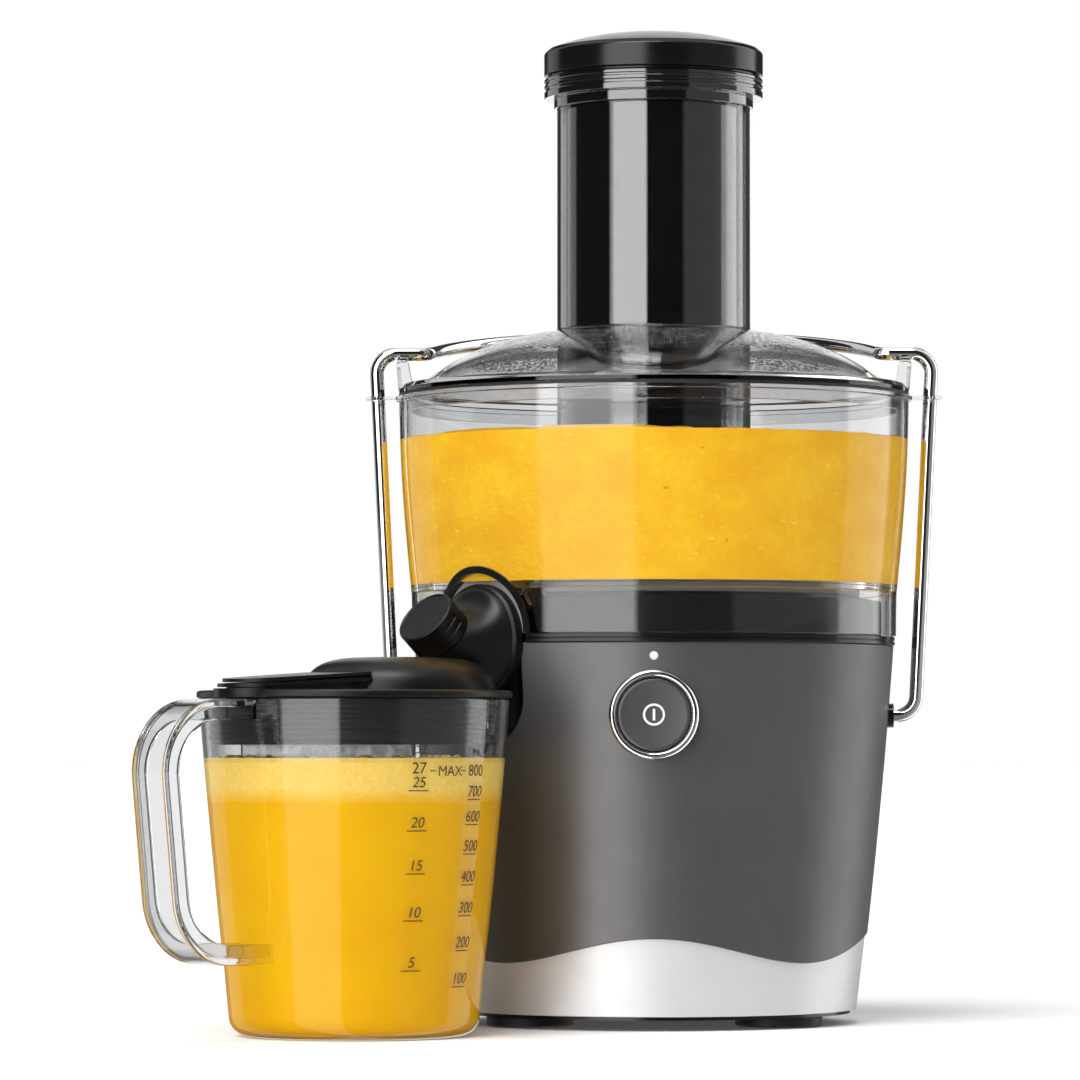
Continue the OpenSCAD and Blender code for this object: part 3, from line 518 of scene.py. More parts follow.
DOME_CLEAR = clear("clear_dome", SMOKE, pebbled=(0.05, 0.078))
CLEAR_JUG = clear("clear_jug", SMOKE)
# Contents that touch a wall hide its reflections, so the wetted faces have a lower IOR.
WET = clear("clear_wall_wetted", (0.97, 0.97, 0.96), ior=1.25)
FROST = clear("frosted_plate", (0.93, 0.94, 0.94), 0.25)


def sieve_material():
    """Stainless sheet etched with a close grid of round holes, laid out by the sheet's own length."""
    material, tree, shader = new_material("sieve_sheet")
    uv = tree.add("ShaderNodeUVMap").outputs["UV"]
    cells = tree.add("ShaderNodeTexVoronoi", voronoi_dimensions="2D")
    cells.inputs["Scale"].default_value = 900
    cells.inputs["Randomness"].default_value = 0.12
    tree.link(uv, cells.inputs["Vector"])
    shader.inputs["Base Color"].default_value = (0.72, 0.72, 0.74, 1)
    shader.inputs["Metallic"].default_value = 1.0
    tree.link(tree.spread(tree.noise(0.003, 4.0), 0.16, 0.34), shader.inputs["Roughness"])
    solid = tree.math("GREATER_THAN", cells.outputs["Distance"], 0.3)
    tree.bump(tree.spread(cells.outputs["Distance"], 0, 1, 0.28, 0.45), 0.00006, shader.inputs["Normal"])
    hole = tree.add("ShaderNodeBsdfTransparent")
    tree.surface(tree.shaders(solid, hole.outputs[0], shader.outputs[0]))
    return material


def pulp_material():
    """Wet, finely chopped fruit: warm mottling, pale shreds and a few brown specks."""
    material, tree, shader = new_material("fruit_pulp")
    broad = tree.spread(tree.noise(0.022, 3.0, (1, 1, 1.4)), 0, 1, 0.35, 0.65)
    colour = tree.mix(broad, (0.76, 0.385, 0.004), (0.82, 0.48, 0.012))
    fine = tree.spread(tree.noise(0.0035, 5.0), 0, 1, 0.35, 0.7)
    colour = tree.mix(tree.math("MULTIPLY", fine, 0.5), colour, (0.74, 0.35, 0.01))
    shred = tree.spread(tree.noise(0.005, 2.0, (1, 1, 2.2)), 0, 1, 0.66, 0.76)
    colour = tree.mix(tree.math("MULTIPLY", shred, 0.45), colour, (0.95, 0.68, 0.12))
    speck = tree.spread(tree.noise(0.003, 1.0), 0, 1, 0.76, 0.82)
    colour = tree.mix(tree.math("MULTIPLY", speck, 0.6), colour, (0.45, 0.16, 0.01))
    tree.link(colour, shader.inputs["Base Color"])
    shader.inputs["Specular IOR Level"].default_value = 0.2
    tree.link(tree.spread(tree.noise(0.004, 3.0), 0.35, 0.6), shader.inputs["Roughness"])
    tree.bump(tree.noise(0.0022, 4.0), 0.0004, shader.inputs["Normal"])
    return material


def juice_material(froth_low, froth_high):
    """Cloudy juice that turns to pale froth between two heights."""
    material, tree, shader = new_material("fruit_juice")
    wave = tree.math("MULTIPLY", tree.noise(0.02, 3.0), 0.004)
    height = tree.math("ADD", tree.axes()[2], wave)
    froth = tree.spread(height, 0, 1, froth_low, froth_high)
    body = tree.mix(tree.spread(tree.noise(0.03, 2.0), 0, 1), (0.71, 0.36, 0.0), (0.74, 0.4, 0.0))
    foam = tree.mix(tree.spread(tree.noise(0.0018, 3.0), 0, 1), (0.74, 0.48, 0.08), (0.79, 0.56, 0.14))
    tree.link(tree.mix(froth, body, foam), shader.inputs["Base Color"])
    shader.inputs["Specular IOR Level"].default_value = 0.1
    tree.link(tree.spread(froth, 0.25, 0.6, 0, 1), shader.inputs["Roughness"])
    tree.bump(tree.noise(0.0012, 2.0), 0.00006, shader.inputs["Normal"])
    return material


SIEVE = sieve_material()
PULP = pulp_material()
JUICE = juice_material(0.0925, 0.0985)

BY_SLOT = {
    "black_rubber": RUBBER, "grey_rubber": GREY_RUBBER, "bright_steel": STEEL, "black_plastic": SATIN,
    "black_gloss": GLOSS, "silver_paint": SILVER, "grey_paint": SHELL, "chrome": CHROME, "white_print": WHITE,
    "clear_plastic": CLEAR, "frosted_plastic": FROST, "sieve_steel": STEEL, "cast_alloy": CAST,
    "motor_steel": IRON, "copper": COPPER, "brass": BRASS, "carbon": CARBON, "board": BOARD,
}
for row in frame["record"]["subparts"]:
    node = frame["nodes"][row["node"]]
    node.data.materials.clear()
    node.data.materials.append(BY_SLOT[row["material_slot"]])
    node.data.polygons.foreach_set("material_index", [0] * len(node.data.polygons))

# ---------------------------------------------------------------- shapes shared with the CAD


def shell_r(z):
    """The housing's outer radius."""
    t = (z - 4) / 149.5
    return 83.2 + 14.8 * (1.28 * t - 0.28 * t * t)


def wave_z(angle):
    """The height of the housing's waved lower edge."""
    return 31.2 + 5.2 * math.cos(4 * angle)


def bowl_r(z):
    """The bowl's outer radius."""
    if z < 174:
        return 99.2 + 0.2 * (z - 157.2) / 16.8
    return 99.4 + 5.1 * math.sin(math.pi / 2 * (z - 174) / 81.2)


def jug_r(z):
    """The jug's outer radius, with a slight belly."""
    line = 48.9 + 11.6 * (z - 8) / 122.5
    return line + 0.5 * max(0.0, 1 - ((z - 80) / 50) ** 2) ** 0.5 if 30 < z < 130 else line


# ---------------------------------------------------------------- body


def shell_loop(angle):
    low, top, step = wave_z(angle), 153.5, 24
    outer = [(shell_r(z), z) for z in (low + 0.35 + (top - 1.2 - low) * i / step for i in range(step + 1))]
    rim = [(shell_r(top) - 0.05, top - 0.35), (shell_r(top) - 0.35, top), (shell_r(top) - 2.4, top)]
    inner = [(shell_r(z) - 2.6, z) for z in (top - 0.4 - (top - 40) * i / step for i in range(step + 1))]
    lip = [(shell_r(39) - 0.8, 39), (shell_r(low) - 0.8, low + 0.1), (shell_r(low) - 0.35, low)]
    return outer + rim + inner + lip


shell = ring_of("body_shell_painted", shell_loop, segs=384)
opening = prism("opening", [(-21, 133)] + arc((0, 133), 21, 180, 360, 48) + [(21, 175), (-21, 175)], 70, 125,
                SPOUT @ turned(-90, "Z"))
LENGTHWISE = SPIN @ turned(90, "Z")
cut(shell, opening,
    rod("hole_button", 17.8, -110, 40, LENGTHWISE @ at(z=BUTTON_Z)),
    rod("hole_lamp", 1.75, -110, 40, LENGTHWISE @ at(z=LAMP_Z), 48),
    rod("hole_cord", 6, 70, 40, LENGTHWISE @ at(z=50), 64),
    rod("hole_pivots", 5, -110, 220, SPIN @ at(z=PIVOT_Z), 64))
done(shell, SHELL, "base", ["body_shell"])

band = [(shell_r(z) - 0.9, z) for z in (5.5, 12, 20, 28, 38.8)]
silver = lathe("silver_band_painted", band + [(r - 1.9, z) for r, z in band[::-1]])
done(silver, SILVER, "base", ["silver_band"])

trim = lathe("trim_ring_gloss", [(98.6, 153.5), (98.6, 154.9, 0.1), (98.1, 155.05, 0.1), (98.1, 155.35, 0.1),
                                 (98.6, 155.5, 0.1), (98.6, 157), (93.2, 157), (93.2, 153.5)])
AT_ARCH = SPOUT @ at(z=ARCH_Z)
cut(trim, rod("arch_gap", 24, 80, 30, AT_ARCH, 128))
done(trim, SATIN, "base", ["trim_ring"])

deck = lathe("top_deck_moulded", [(92.4, 149), (95, 149), (95, 153.3), (93, 153.3), (93, 172, 1.2),
                                  (86, 172, 1), (86, 163, 1.5), (21, 163), (21, 160.4), (88.4, 160.4),
                                  (88.4, 169.4), (90.4, 169.4), (90.4, 153.3), (92.4, 151.3)])
cut(deck, rod("arch_room", 28.9, 76, 40, AT_ARCH, 128),
    prism("arch_foot", [(78, 140), (118, 140), (118, 158.5), (78, 158.5)], -29.2, 29.2, SPOUT))
done(deck, SATIN, "base", ["top_deck"])

for index, (x, y) in enumerate(((-50, -38), (50, -38), (50, 38), (-50, 38))):
    foot = lathe(f"foot_{index}", [(4.2, 0.0), (16.7, 0), (17.5, 0.8), (17.5, 4), (4.2, 4)],
                 SPIN @ at(x, y), 0.5, 64)
    done(foot, RUBBER, "base", ["feet"])

# ---------------------------------------------------------------- controls

FRONT = SPIN @ at(z=BUTTON_Z) @ FACING
ring = lathe("button_ring_chrome", [(14.7, 88.8), (17.7, 88.8), (17.7, 97.4, 0.9), (16.9, 98.4, 0.9),
                                    (15.6, 98.4, 0.8), (14.7, 97.2, 0.6)], FRONT, 0.3, 160, 5)
done(ring, CHROME, "base", ["button_ring"])
cap = lathe("power_button_cap", [(0, 84), (4, 84), (4, 90.2), (14.4, 90.2), (14.4, 97.1, 0.8),
                                 (13.4, 97.6, 1.5), (9, 97.15, 4), (0, 97.0)], FRONT, 0.3, 160, 5)
done(cap, CAP_PAINT, "button", ["power_button"])
icon = lathe("button_icon_ring", [(3.45, 96.9), (4.35, 96.9), (4.35, 97.35), (3.45, 97.35)], FRONT, 0.1, 96)
mark = prism("bar", [(-0.5, -2.3), (0.5, -2.3), (0.5, 2.3), (-0.5, 2.3)], -97.35, -96.9,
             SPIN @ at(z=BUTTON_Z), 0.2)
join(icon, [mark])
done(icon, WHITE, "button")
lamp = lathe("indicator_lens", [(0, 95.2), (1.7, 95.2), (1.7, 97.7, 0.3), (1.2, 98.1, 0.4), (0, 98.2)],
             SPIN @ at(z=LAMP_Z) @ FACING, 0.1, 48)
done(lamp, WHITE, "base", ["led_lens"])

# ---------------------------------------------------------------- bowl

BOWL_WALL = 2.2
FLOOR_Z = 178.05
heights = [174, FLOOR_Z] + [FLOOR_Z + (PULP_TOP - FLOOR_Z) * i / 18 for i in range(1, 19)] + [242, 248, 253.5]
wall = [(bowl_r(z), z) for z in heights]
inside = [(bowl_r(z) - BOWL_WALL, z) for z in reversed(heights[1:-1] + [255.2])]
bowl = lathe("bowl_clear", [(99.2, 157.2)] + wall + [(105.6, 253.5), (105.6, 255.2)] + inside
             + [(84.3, FLOOR_Z), (84.3, 175.5), (97.2, 175.5, 0.8), (97, 157.2)], fillet=0.35, segs=288)
cut(bowl, rod("arch_cut", 26.7, 78, 32, AT_ARCH, 128))


def arch_shell(name, r_out, r_in, grow):
    """The half tube over the spout, which ends grow millimetres outside the bowl."""
    tube = lathe(name, [(r_in, 84.5), (r_out, 84.5), (r_out, 108), (r_in, 108)], AT_ARCH @ ALONG_X, 0.3, 160)
    bowl_line = [(bowl_r(z) + grow, z) for z in (157.2, 174, 180, 186, 192, 200)]
    room = lathe("room", [(0, 157.2)] + bowl_line + [(0, 200)], SPIN, 0, 288)
    return join(tube, [room], "INTERSECT")


ears = []
ear_line = [(102.5, 253.5), (117.4, 253.5), (117.4, 255.2), (102.5, 255.2)]
web_line = [(102.2, 253.8), (102.2, 247.1), (103.5, 247.1), (109.5, 253.8)]
for side in (-1, 1):
    ears.append(prism("ear", [(side * x, z) for x, z in ear_line], -14, -3.2, SPIN, 0, 0.5))
    ears.append(prism("web", [(side * x, z) for x, z in web_line], -9.6, -7.6, SPIN))
join(bowl, [arch_shell("arch_clear", 28.7, 26.7, 0.0)])
join(bowl, ears)
done(bowl, CLEAR, "base", ["bowl", "bowl_floor", "stop_ears"])
refinish(bowl, WET, SPIN, lambda r, z: FLOOR_Z - 0.1 < z < PULP_TOP + 0.1)
done(arch_shell("spout_collar_black", 26.5, 23.7, 0.5), SATIN, "base", ["spout_collar"])

collector = lathe("juice_collector_tub", [(24, 163.3), (82, 163.3, 1.5), (82, 226), (79.8, 226),
                                          (79.8, 165.7, 1.5), (26.3, 165.7, 1.5), (17.6, 181), (15.2, 181)])
done(collector, SATIN, "base", ["juice_collector"])

# The contents reach 0.7 mm into the walls, so that no film of air shows between them.
INTO_WALL = BOWL_WALL - 0.7
grain = random.Random(11)
peaks = [(grain.uniform(0, 2 * math.pi), grain.uniform(85, 101), grain.uniform(0.3, 0.9),
          grain.uniform(4, 11)) for _ in range(140)]


def lumps_at(r, angle):
    """The height of the pulp's lumps, each a soft peak at its own angle and radius."""
    lift = 0
    for peak_angle, peak_r, high, wide in peaks:
        across = peak_r * math.remainder(angle - peak_angle, 2 * math.pi)
        lift += high * math.exp(-((r - peak_r) ** 2 + across ** 2) / wide ** 2)
    return min(lift, 1.2)


def pulp_loop(angle):
    """The pulp against the bowl's wall, its top roughened by lumps."""
    top = []
    for r in (102.4, 100.6, 98, 95, 92, 89.5, 87.4):
        swell, rough = (0, 0.15) if r > 101 else (0.35, 1)
        top.append((r, PULP_TOP + swell * math.sin(3 * angle + 1) + rough * lumps_at(r, angle)))
    side = [(bowl_r(z) - INTO_WALL, z) for z in (178.1, 184, 190, 198, 206, 214, 222, 230, 236)]
    return side + top + [(87.4, 227.3), (82.6, 226.2), (82.6, 178.1)]


pulp = ring_of("fruit_pulp", pulp_loop, segs=320)
done(pulp, PULP, "base")

# ---------------------------------------------------------------- sieve and drive seen inside

mesh_cone = lathe("sieve_mesh_sheet", [(54.6, 190.1), (55.6, 190.1), (73.4, 235), (72.4, 235)],
                  fillet=0, segs=256)
done(mesh_cone, SIEVE, "drive", ["sieve_mesh"])
rim = lathe("sieve_rim_moulded", [(71.6, 235.1), (76, 235.1), (84.8, 228.5), (86.6, 228.5), (86.6, 231, 1),
                                  (79, 239, 1), (71.6, 239)], fillet=0.4)
done(rim, SATIN, "drive", ["sieve_rim"])

# ---------------------------------------------------------------- spout


def spout_ring(t, sides=72):
    """The spout's section at share t of the way from its flange to the knob."""
    ease = t * t * (3 - 2 * t)
    tilt = math.radians(KNOB_TILT * ease)
    centre = Vector((98.5, 0, SPOUT_Z)).lerp(Vector((118.6, 0, 155.7)), t)
    centre.z += 0.6 * math.sin(math.pi * t)
    radius = 21.4 - 9.1 * t ** 1.15
    turn = Matrix.Rotation(tilt, 3, "Y")
    return [centre + turn @ Vector((0, radius * math.cos(2 * math.pi * k / sides),
                                    radius * math.sin(2 * math.pi * k / sides))) for k in range(sides)]


spout = loft("spout_body_moulded", [spout_ring(i / 14) for i in range(15)], SPOUT)
flange = lathe("flange", [(0, 95.6), (22.5, 95.6, 0.4), (22.5, 99.2, 0.7), (21.3, 100.2, 0.5), (0, 100.2)],
               SPOUT @ at(z=SPOUT_Z) @ ALONG_X, 0.3, 144)
NOZZLE = SPOUT @ at(NOZZLE_X)
PIPE = SPOUT @ at(z=PIPE_Z)
nozzle = lathe("nozzle", [(0, 139), (10.5, 139, 0.8), (10.8, 152, 2), (0, 156)], NOZZLE, 0.3, 96)
join(spout, [nozzle, flange, rod("pipe", 8, 82.2, 16, PIPE)])
cut(spout, rod("pipe_bore", 6, 80, 33, PIPE),
    lathe("nozzle_bore", [(0, 138), (8.4, 138), (7.6, 141), (7.6, 150), (0, 150)], NOZZLE, 0, 96),
    rod("stem_bore", 7, -12.5, 13, KNOB))
round_edges(spout, 0.35, 2, 40)
done(spout, MATTE, "base", ["spout_body"])

knob = lathe("drip_stop_knob_cap", [(0, -12), (6.95, -12, 0.5), (6.95, 0, 0.1), (12.3, 0, 0.5),
                                    (12.3, 11.6, 0.7), (11.5, 12, 0.5), (11.0, 11.55, 0.3), (0, 11.45)],
             KNOB @ ALONG_X, 0.3, 144, 5)
grooves = []
for x in (4.4, 8.0):
    for side in (-90, 90):
        path = [(x, 12.5 * math.sin(a), 12.5 * math.cos(a))
                for a in (math.radians(side + turn) for turn in range(-21, 22, 3))]
        grooves.append(bent_bar("groove", path, 1.05, KNOB, 16))
gate = lathe("gate", [(0, -10), (4, -10), (4, 10), (0, 10)], KNOB @ at(-6), 0, 64)
cut(knob, *grooves, gate)
round_edges(knob, 0.2, 2, 40)
done(knob, MATTE, "knob", ["drip_stop_knob"])

# ---------------------------------------------------------------- lid

DOME_R, LID_WALL, CHUTE_R = 113, 2.4, 39.75
# The centre of the dome's section, which meets the rim 70.3 mm further out.
DOME = (29.7, 258.2 - math.sqrt(DOME_R ** 2 - 70.3 ** 2))


def dome_arc(radius, r0, r1, steps):
    a0, a1 = (math.degrees(math.acos((r - DOME[0]) / radius)) for r in (r0, r1))
    return arc(DOME, radius, a0, a1, steps)


under = dome_arc(DOME_R - LID_WALL, CHUTE_R, 97.9, 22)
over = dome_arc(DOME_R, 97.37, CHUTE_R, 24)
foot = [(38, 197), (CHUTE_R, 197)]
edge = [(99.4, 255.4), (99.4, 249.2), (101.6, 249.2), (101.6, 256.4), (104.6, 256.4), (104.6, 258.2, 0.6),
        (103, 260.2, 0.6)]
mouth = [(CHUTE_R, 374), (41, 374), (41, 378), (45, 378, 0.6), (45, 380.6, 0.2), (44.4, 381, 0.2),
         (44.4, 381.9, 0.2), (45, 382.3, 0.2), (45, 383.4, 0.2), (44.5, 383.8, 0.2), (44.5, 384.4, 0.2),
         (45, 384.8, 0.2), (45, 386, 0.5), (38, 386, 0.5)]
lid = lathe("lid_clear", foot + [(*under[0], 1.0)] + under[1:] + edge
            + over[:-1] + [(*over[-1], 2.0)] + mouth, fillet=0.35, segs=288)
posts = []
post_line = [(98, 257.6), (104.4, 257.6), (105.4, 269.4), (104.6, 270.4), (101.4, 270.4), (100.4, 269.4)]
pocket_line = [(103, 259.6), (110, 259.6), (110, 267.6), (103.6, 267.6)]
for side in (-1, 1):
    post = prism("post", [(side * x, z) for x, z in post_line], -9, 9, SPIN, 0, 0.5)
    posts.append(cut(post, prism("pocket", [(side * x, z) for x, z in pocket_line], -6.6, 6.6, SPIN)))
join(lid, posts)
done(lid, DOME_CLEAR, "base", ["lid", "feed_chute"])
# The flange round the chute's mouth, under the pusher's cap, is black.
refinish(lid, GLOSS, SPIN, lambda r, z: z > 373.9 and r > CHUTE_R - 0.15)

# ---------------------------------------------------------------- pusher

body = lathe("pusher_polished", [(0, 200), (35, 200, 0.8), (36, 201, 0.8), (36, 386.3), (33.5, 386.3),
                                 (33.5, 202.5, 1), (0, 202.5)], fillet=0.3)
done(body, GLOSS, "pusher", ["pusher_body"])
crown = [(r, 397 + 8 * (1 - (r / 46.5) ** 2.6)) for r in (43.2, 41.6, 38, 32, 24, 14, 0)]
cap_side = [(0, 386.3), (43.4, 386.3), (43.4, 387.2, 0.2), (45, 387.6, 0.5), (45, 396.6, 1.4)]
cap_top = lathe("pusher_cap_moulded", cap_side + [(*crown[0], 0.8), (*crown[1], 0.6)] + crown[2:],
                fillet=0.5, steps=5)
done(cap_top, SATIN, "pusher", ["pusher_cap"])

# ---------------------------------------------------------------- locking arm

ROD_R, LOW_X, TOP_X, TOP_Z, BACK, RISE, BEND = 2.8, 106.9, 114.1, 273.4, 70, 12, 8
# The turn back to the crossbar ends at CORNER_X and has the radius CORNER.
CORNER_X, CORNER = 97, 5


def arm_side():
    """The rod from the right pivot up the leg and back round to the crossbar."""
    lean = math.degrees(math.atan((TOP_X - LOW_X) / (TOP_Z - PIVOT_Z)))
    low_set = BEND * math.tan(math.radians((90 - lean) / 2))
    top_set = BEND * math.tan(math.radians((90 + lean) / 2))
    slope = math.atan(RISE / BACK)
    depth = math.hypot(BACK, RISE)
    arc_y = ((depth + CORNER) ** 2 - CORNER_X ** 2 - CORNER ** 2) / (2 * depth)
    radius = depth - arc_y
    reach = math.degrees(math.atan2(CORNER - arc_y, CORNER_X))
    upright = [(85, PIVOT_Z), (92, PIVOT_Z)]
    upright += arc((LOW_X - low_set, PIVOT_Z + BEND), BEND, -90, -lean, 10)
    foot, head = upright[-1], arc((TOP_X - top_set, TOP_Z - BEND), BEND, -lean, 90, 12)
    upright += [(foot[0] + (head[0][0] - foot[0]) * i / 12, foot[1] + (head[0][1] - foot[1]) * i / 12)
                for i in range(1, 12)]
    upright += head
    flat = arc((CORNER_X, CORNER), CORNER, 270, 180 + reach, 12)
    flat += arc((0, arc_y), radius, reach, 90, 22)[1:]
    crossbar = [(x, y * math.cos(slope), TOP_Z + y * math.sin(slope)) for x, y in flat]
    return [(x, 0, z) for x, z in upright] + crossbar


right = arm_side()
arm = bent_bar("locking_arm_chrome", right + [(-x, y, z) for x, y, z in right[-2::-1]], ROD_R, SPIN, 32)
done(arm, CHROME, "arm", ["locking_arm"], 50)

# ---------------------------------------------------------------- jug

HEEL_R, JUG_WALL = 40.9, 2.2
under_side = [(0, 0.5), (33, 0.5, 0.5), (34, 0, 0.5), (HEEL_R, 0, 2)]
outer = arc((HEEL_R, 8), 8, -75, 0, 10) + [(jug_r(z), z) for z in range(16, 130, 6)]
inner = [(jug_r(z) - JUG_WALL, z) for z in range(124, 9, -6)]
jug = lathe("jug_clear", under_side + outer + [(60.5, 130.5), (60.5 - JUG_WALL, 130.5)] + inner
            + arc((HEEL_R, 9), 5.8, 0, -90, 8) + [(0, 3.2)], JUG, 0.5, 256)
LOOP = [(50, 130.4)] + [(x, z - 0.1) for x, z in arc((77, 102.5), 28, 90, -6.3, 26)]
LOOP += arc((72, 57), 28, -6.3, -90, 26) + [(46, 29)]


def rounded_loop(corners, steps=4):
    """A closed outline whose (x, y, reach) corners are rounded over reach on both sides."""
    out = []
    for i, (x, y, reach) in enumerate(corners):
        a, b = Vector(corners[i - 1][:2]), Vector((x, y))
        c = Vector(corners[(i + 1) % len(corners)][:2])
        p, q = b + (a - b).normalized() * reach, b + (c - b).normalized() * reach
        for k in range(steps + 1):
            t = k / steps
            out.append(p * (1 - t) ** 2 + b * (2 * t * (1 - t)) + q * t * t)
    return out


# The handle is a channel, open towards the jug.
half, thick, deep = 10, 2.6, 8
web = half - thick
SECTION = rounded_loop([(-half, 0, 1.3), (half, 0, 1.3), (half, -deep, 1), (web, -deep, 1), (web, -thick, 1),
                        (-web, -thick, 1), (-web, -deep, 1), (-half, -deep, 1)])
handle = sweep("handle", [(x, 0, z) for x, z in LOOP], SECTION, JUG, (0, 1, 0))
hollow = lathe("hollow", [(0, -1), (38, -1)] + [(jug_r(z) - 1.1, z) for z in range(12, 131, 6)]
               + [(59.4, 131), (0, 131)], JUG, 0, 256)
cut(handle, hollow)
join(jug, [handle])
done(jug, CLEAR_JUG, "jug_body", ["jug", "jug_handle"])
refinish(jug, WET, JUG, lambda r, z: 2.9 < z < JUICE_TOP + 0.1 and r < jug_r(z) + 0.2)

side = [(jug_r(z) - INTO_WALL, z) for z in range(14, 105, 6)]
froth_top = [(jug_r(JUICE_TOP) - INTO_WALL, JUICE_TOP, 0.3), (52, 107.4), (40, 107.7), (25, 107.2),
             (0, 107.5)]
juice = lathe("juice_and_froth", [(0, 2.4), (HEEL_R, 2.4)] + arc((HEEL_R, 9), 6.5, -80, 0, 8)
              + side + froth_top, JUG, 0.4, 256)
done(juice, JUICE, "jug_body")

bubbles = []
for _ in range(110):
    a, size = random.uniform(0, 2 * math.pi), random.choice((0.7, 0.9, 1.2, 1.6, 2.2))
    r = jug_r(JUICE_TOP) - 2.5 - size - abs(random.gauss(0, 9))
    bubbles.append((r * math.cos(a), r * math.sin(a), JUICE_TOP - 0.7, size))
verts, faces = [], []
rows, cols = 6, 14
for x, y, z, size in bubbles:
    base = len(verts)
    for i in range(rows + 1):
        lat = math.radians(-20 + 110 * i / rows)
        for k in range(cols):
            lon = 2 * math.pi * k / cols
            verts.append((x + size * math.cos(lat) * math.cos(lon), y + size * math.cos(lat) * math.sin(lon),
                          z + 0.8 * size * math.sin(lat)))
    faces += bands(rows + 1, cols, base)
    faces.append(tuple(base + k for k in range(cols)))
foam = build("froth_bubbles", verts, faces, JUG)
done(foam, FOAM, "jug_body")

# ---------------------------------------------------------------- marks printed on the jug


def printed(text, angle, z, size, slant=0.18):
    """Text wrapped round the jug, its foot at height z."""
    curve = bpy.data.curves.new("mark", "FONT")
    curve.body = text
    curve.size = size
    curve.align_x = "CENTER"
    curve.shear = slant
    curve.resolution_u = 6
    temp = bpy.data.objects.new("mark", curve)
    bpy.context.scene.collection.objects.link(temp)
    bpy.context.view_layer.update()
    mesh = bpy.data.meshes.new_from_object(temp.evaluated_get(bpy.context.evaluated_depsgraph_get()))
    bpy.data.objects.remove(temp)
    bm = bmesh.new()
    bm.from_mesh(mesh)
    return wrapped(bm, angle, z)


def wrapped(bm, angle, z):
    """The vertices and faces of a flat figure laid round the jug, cut into strips so that it bends."""
    for x in range(-16, 17):
        geometry = bm.verts[:] + bm.edges[:] + bm.faces[:]
        bmesh.ops.bisect_plane(bm, geom=geometry, plane_co=(x * 0.9, 0, 0), plane_no=(1, 0, 0))
    bmesh.ops.triangulate(bm, faces=bm.faces)
    bm.verts.ensure_lookup_table()
    spots = []
    for v in bm.verts:
        height = z + v.co.y
        reach = jug_r(height) + 0.06
        turn = angle + v.co.x / reach
        spots.append((reach * math.cos(turn), reach * math.sin(turn), height))
    faces = [tuple(v.index for v in f.verts) for f in bm.faces]
    bm.free()
    return spots, faces


def rule(angle, z, width, height=0.4):
    """A short line wrapped round the jug."""
    bm = bmesh.new()
    spots = ((-width / 2, 0), (width / 2, 0), (width / 2, height), (-width / 2, height))
    bm.faces.new([bm.verts.new((x, y, 0)) for x, y in spots])
    return wrapped(bm, angle, z)


OZ, ML = math.radians(73), math.radians(101)
sheets = []
for text, z in (("5", 28), ("10", 47.1), ("15", 65), ("20", 81.4), ("25", 96.7)):
    sheets.append(printed(text, OZ, z, 5.8))
    sheets.append(rule(OZ, z - 1.5, 8.4))
for text, z in (("100", 21.3), ("200", 35.2), ("300", 48.5), ("400", 60.4), ("500", 72.2), ("600", 83.5),
                ("700", 93.1)):
    sheets.append(printed(text, ML, z, 6.0))
    sheets.append(rule(ML, z - 1.4, 8.0))
sheets.append(printed("27", OZ, 102, 6.2, 0))
sheets.append(printed("MAX", (OZ + ML) / 2, 101, 5.6, 0))
sheets.append(printed("800", ML, 101, 6.2, 0))
sheets.append(printed("OZ", OZ, 109.6, 4.4, 0))
sheets.append(printed("ML", ML, 108.6, 4.4, 0))
for turn in (OZ + math.radians(5.8), ML - math.radians(7.6)):
    sheets.append(rule(turn, 102.8, 2.4))
verts, faces = [], []
for spots, patches in sheets:
    faces += [tuple(len(verts) + i for i in patch) for patch in patches]
    verts += spots
marks = build("jug_scale_marks", verts, faces, JUG, weld=False)
thick_ink = marks.modifiers.new("ink", "SOLIDIFY")
thick_ink.thickness = 0.00004
thick_ink.offset = 1
done(marks, INK, "jug_body")

# ---------------------------------------------------------------- jug lid

plate = lathe("jug_lid_moulded", [(0, 130.8), (60.2, 130.8), (61.5, 131.4, 0.5), (61.5, 133.4, 0.8),
                                  (60.4, 134, 0.6), (58.6, 133.6, 0.8), (0, 133.8)], JUG, 0.3, 256)
skirt = lathe("skirt", [(53.4, 113), (55.6, 113), (55.6, 131.6), (53.4, 131.6)], JUG, 0.3, 256)

HOOD = JUG @ at(-24)
HOOD_R, HOOD_LOW, HOOD_RISE, HOOD_WALL = 38, 134, 13.3, 2.4


def hood_points(inset):
    """The hood's boxy section, shrunk by inset, from its foot to its middle."""
    points = []
    for i in range(17):
        a = math.radians(90 * i / 16)
        reach = 0.1 * math.cos(a) + 0.9 * max(math.cos(a), 0) ** 0.36
        points.append(((HOOD_R - inset) * reach, HOOD_LOW + (HOOD_RISE - inset) * math.sin(a)))
    return points[:-1] + [(0, HOOD_LOW + HOOD_RISE - inset)]


hood = lathe("hood", [(0, 131.2), (38.9, 131.2), (38.9, 133.6, 0.5)] + hood_points(0), HOOD, 0.6, 192)
tray = [(8, -20), (28, -20)] + arc((50, 0), 17, -62, 62, 20) + [(28, 20), (8, 20)]


def slab(name, grow, z0, z1, rise):
    """The tray's outline scaled by grow between two heights, lifted by rise at the end next to the hood."""
    outline = [(8 + (x - 8) * grow, y * grow) for x, y in tray]
    reach = max(x for x, _ in outline)
    low, high = ([(x, y, z + rise * (reach - x) / (reach - 8)) for x, y in outline] for z in (z0, z1))
    return between(name, low, high, JUG)


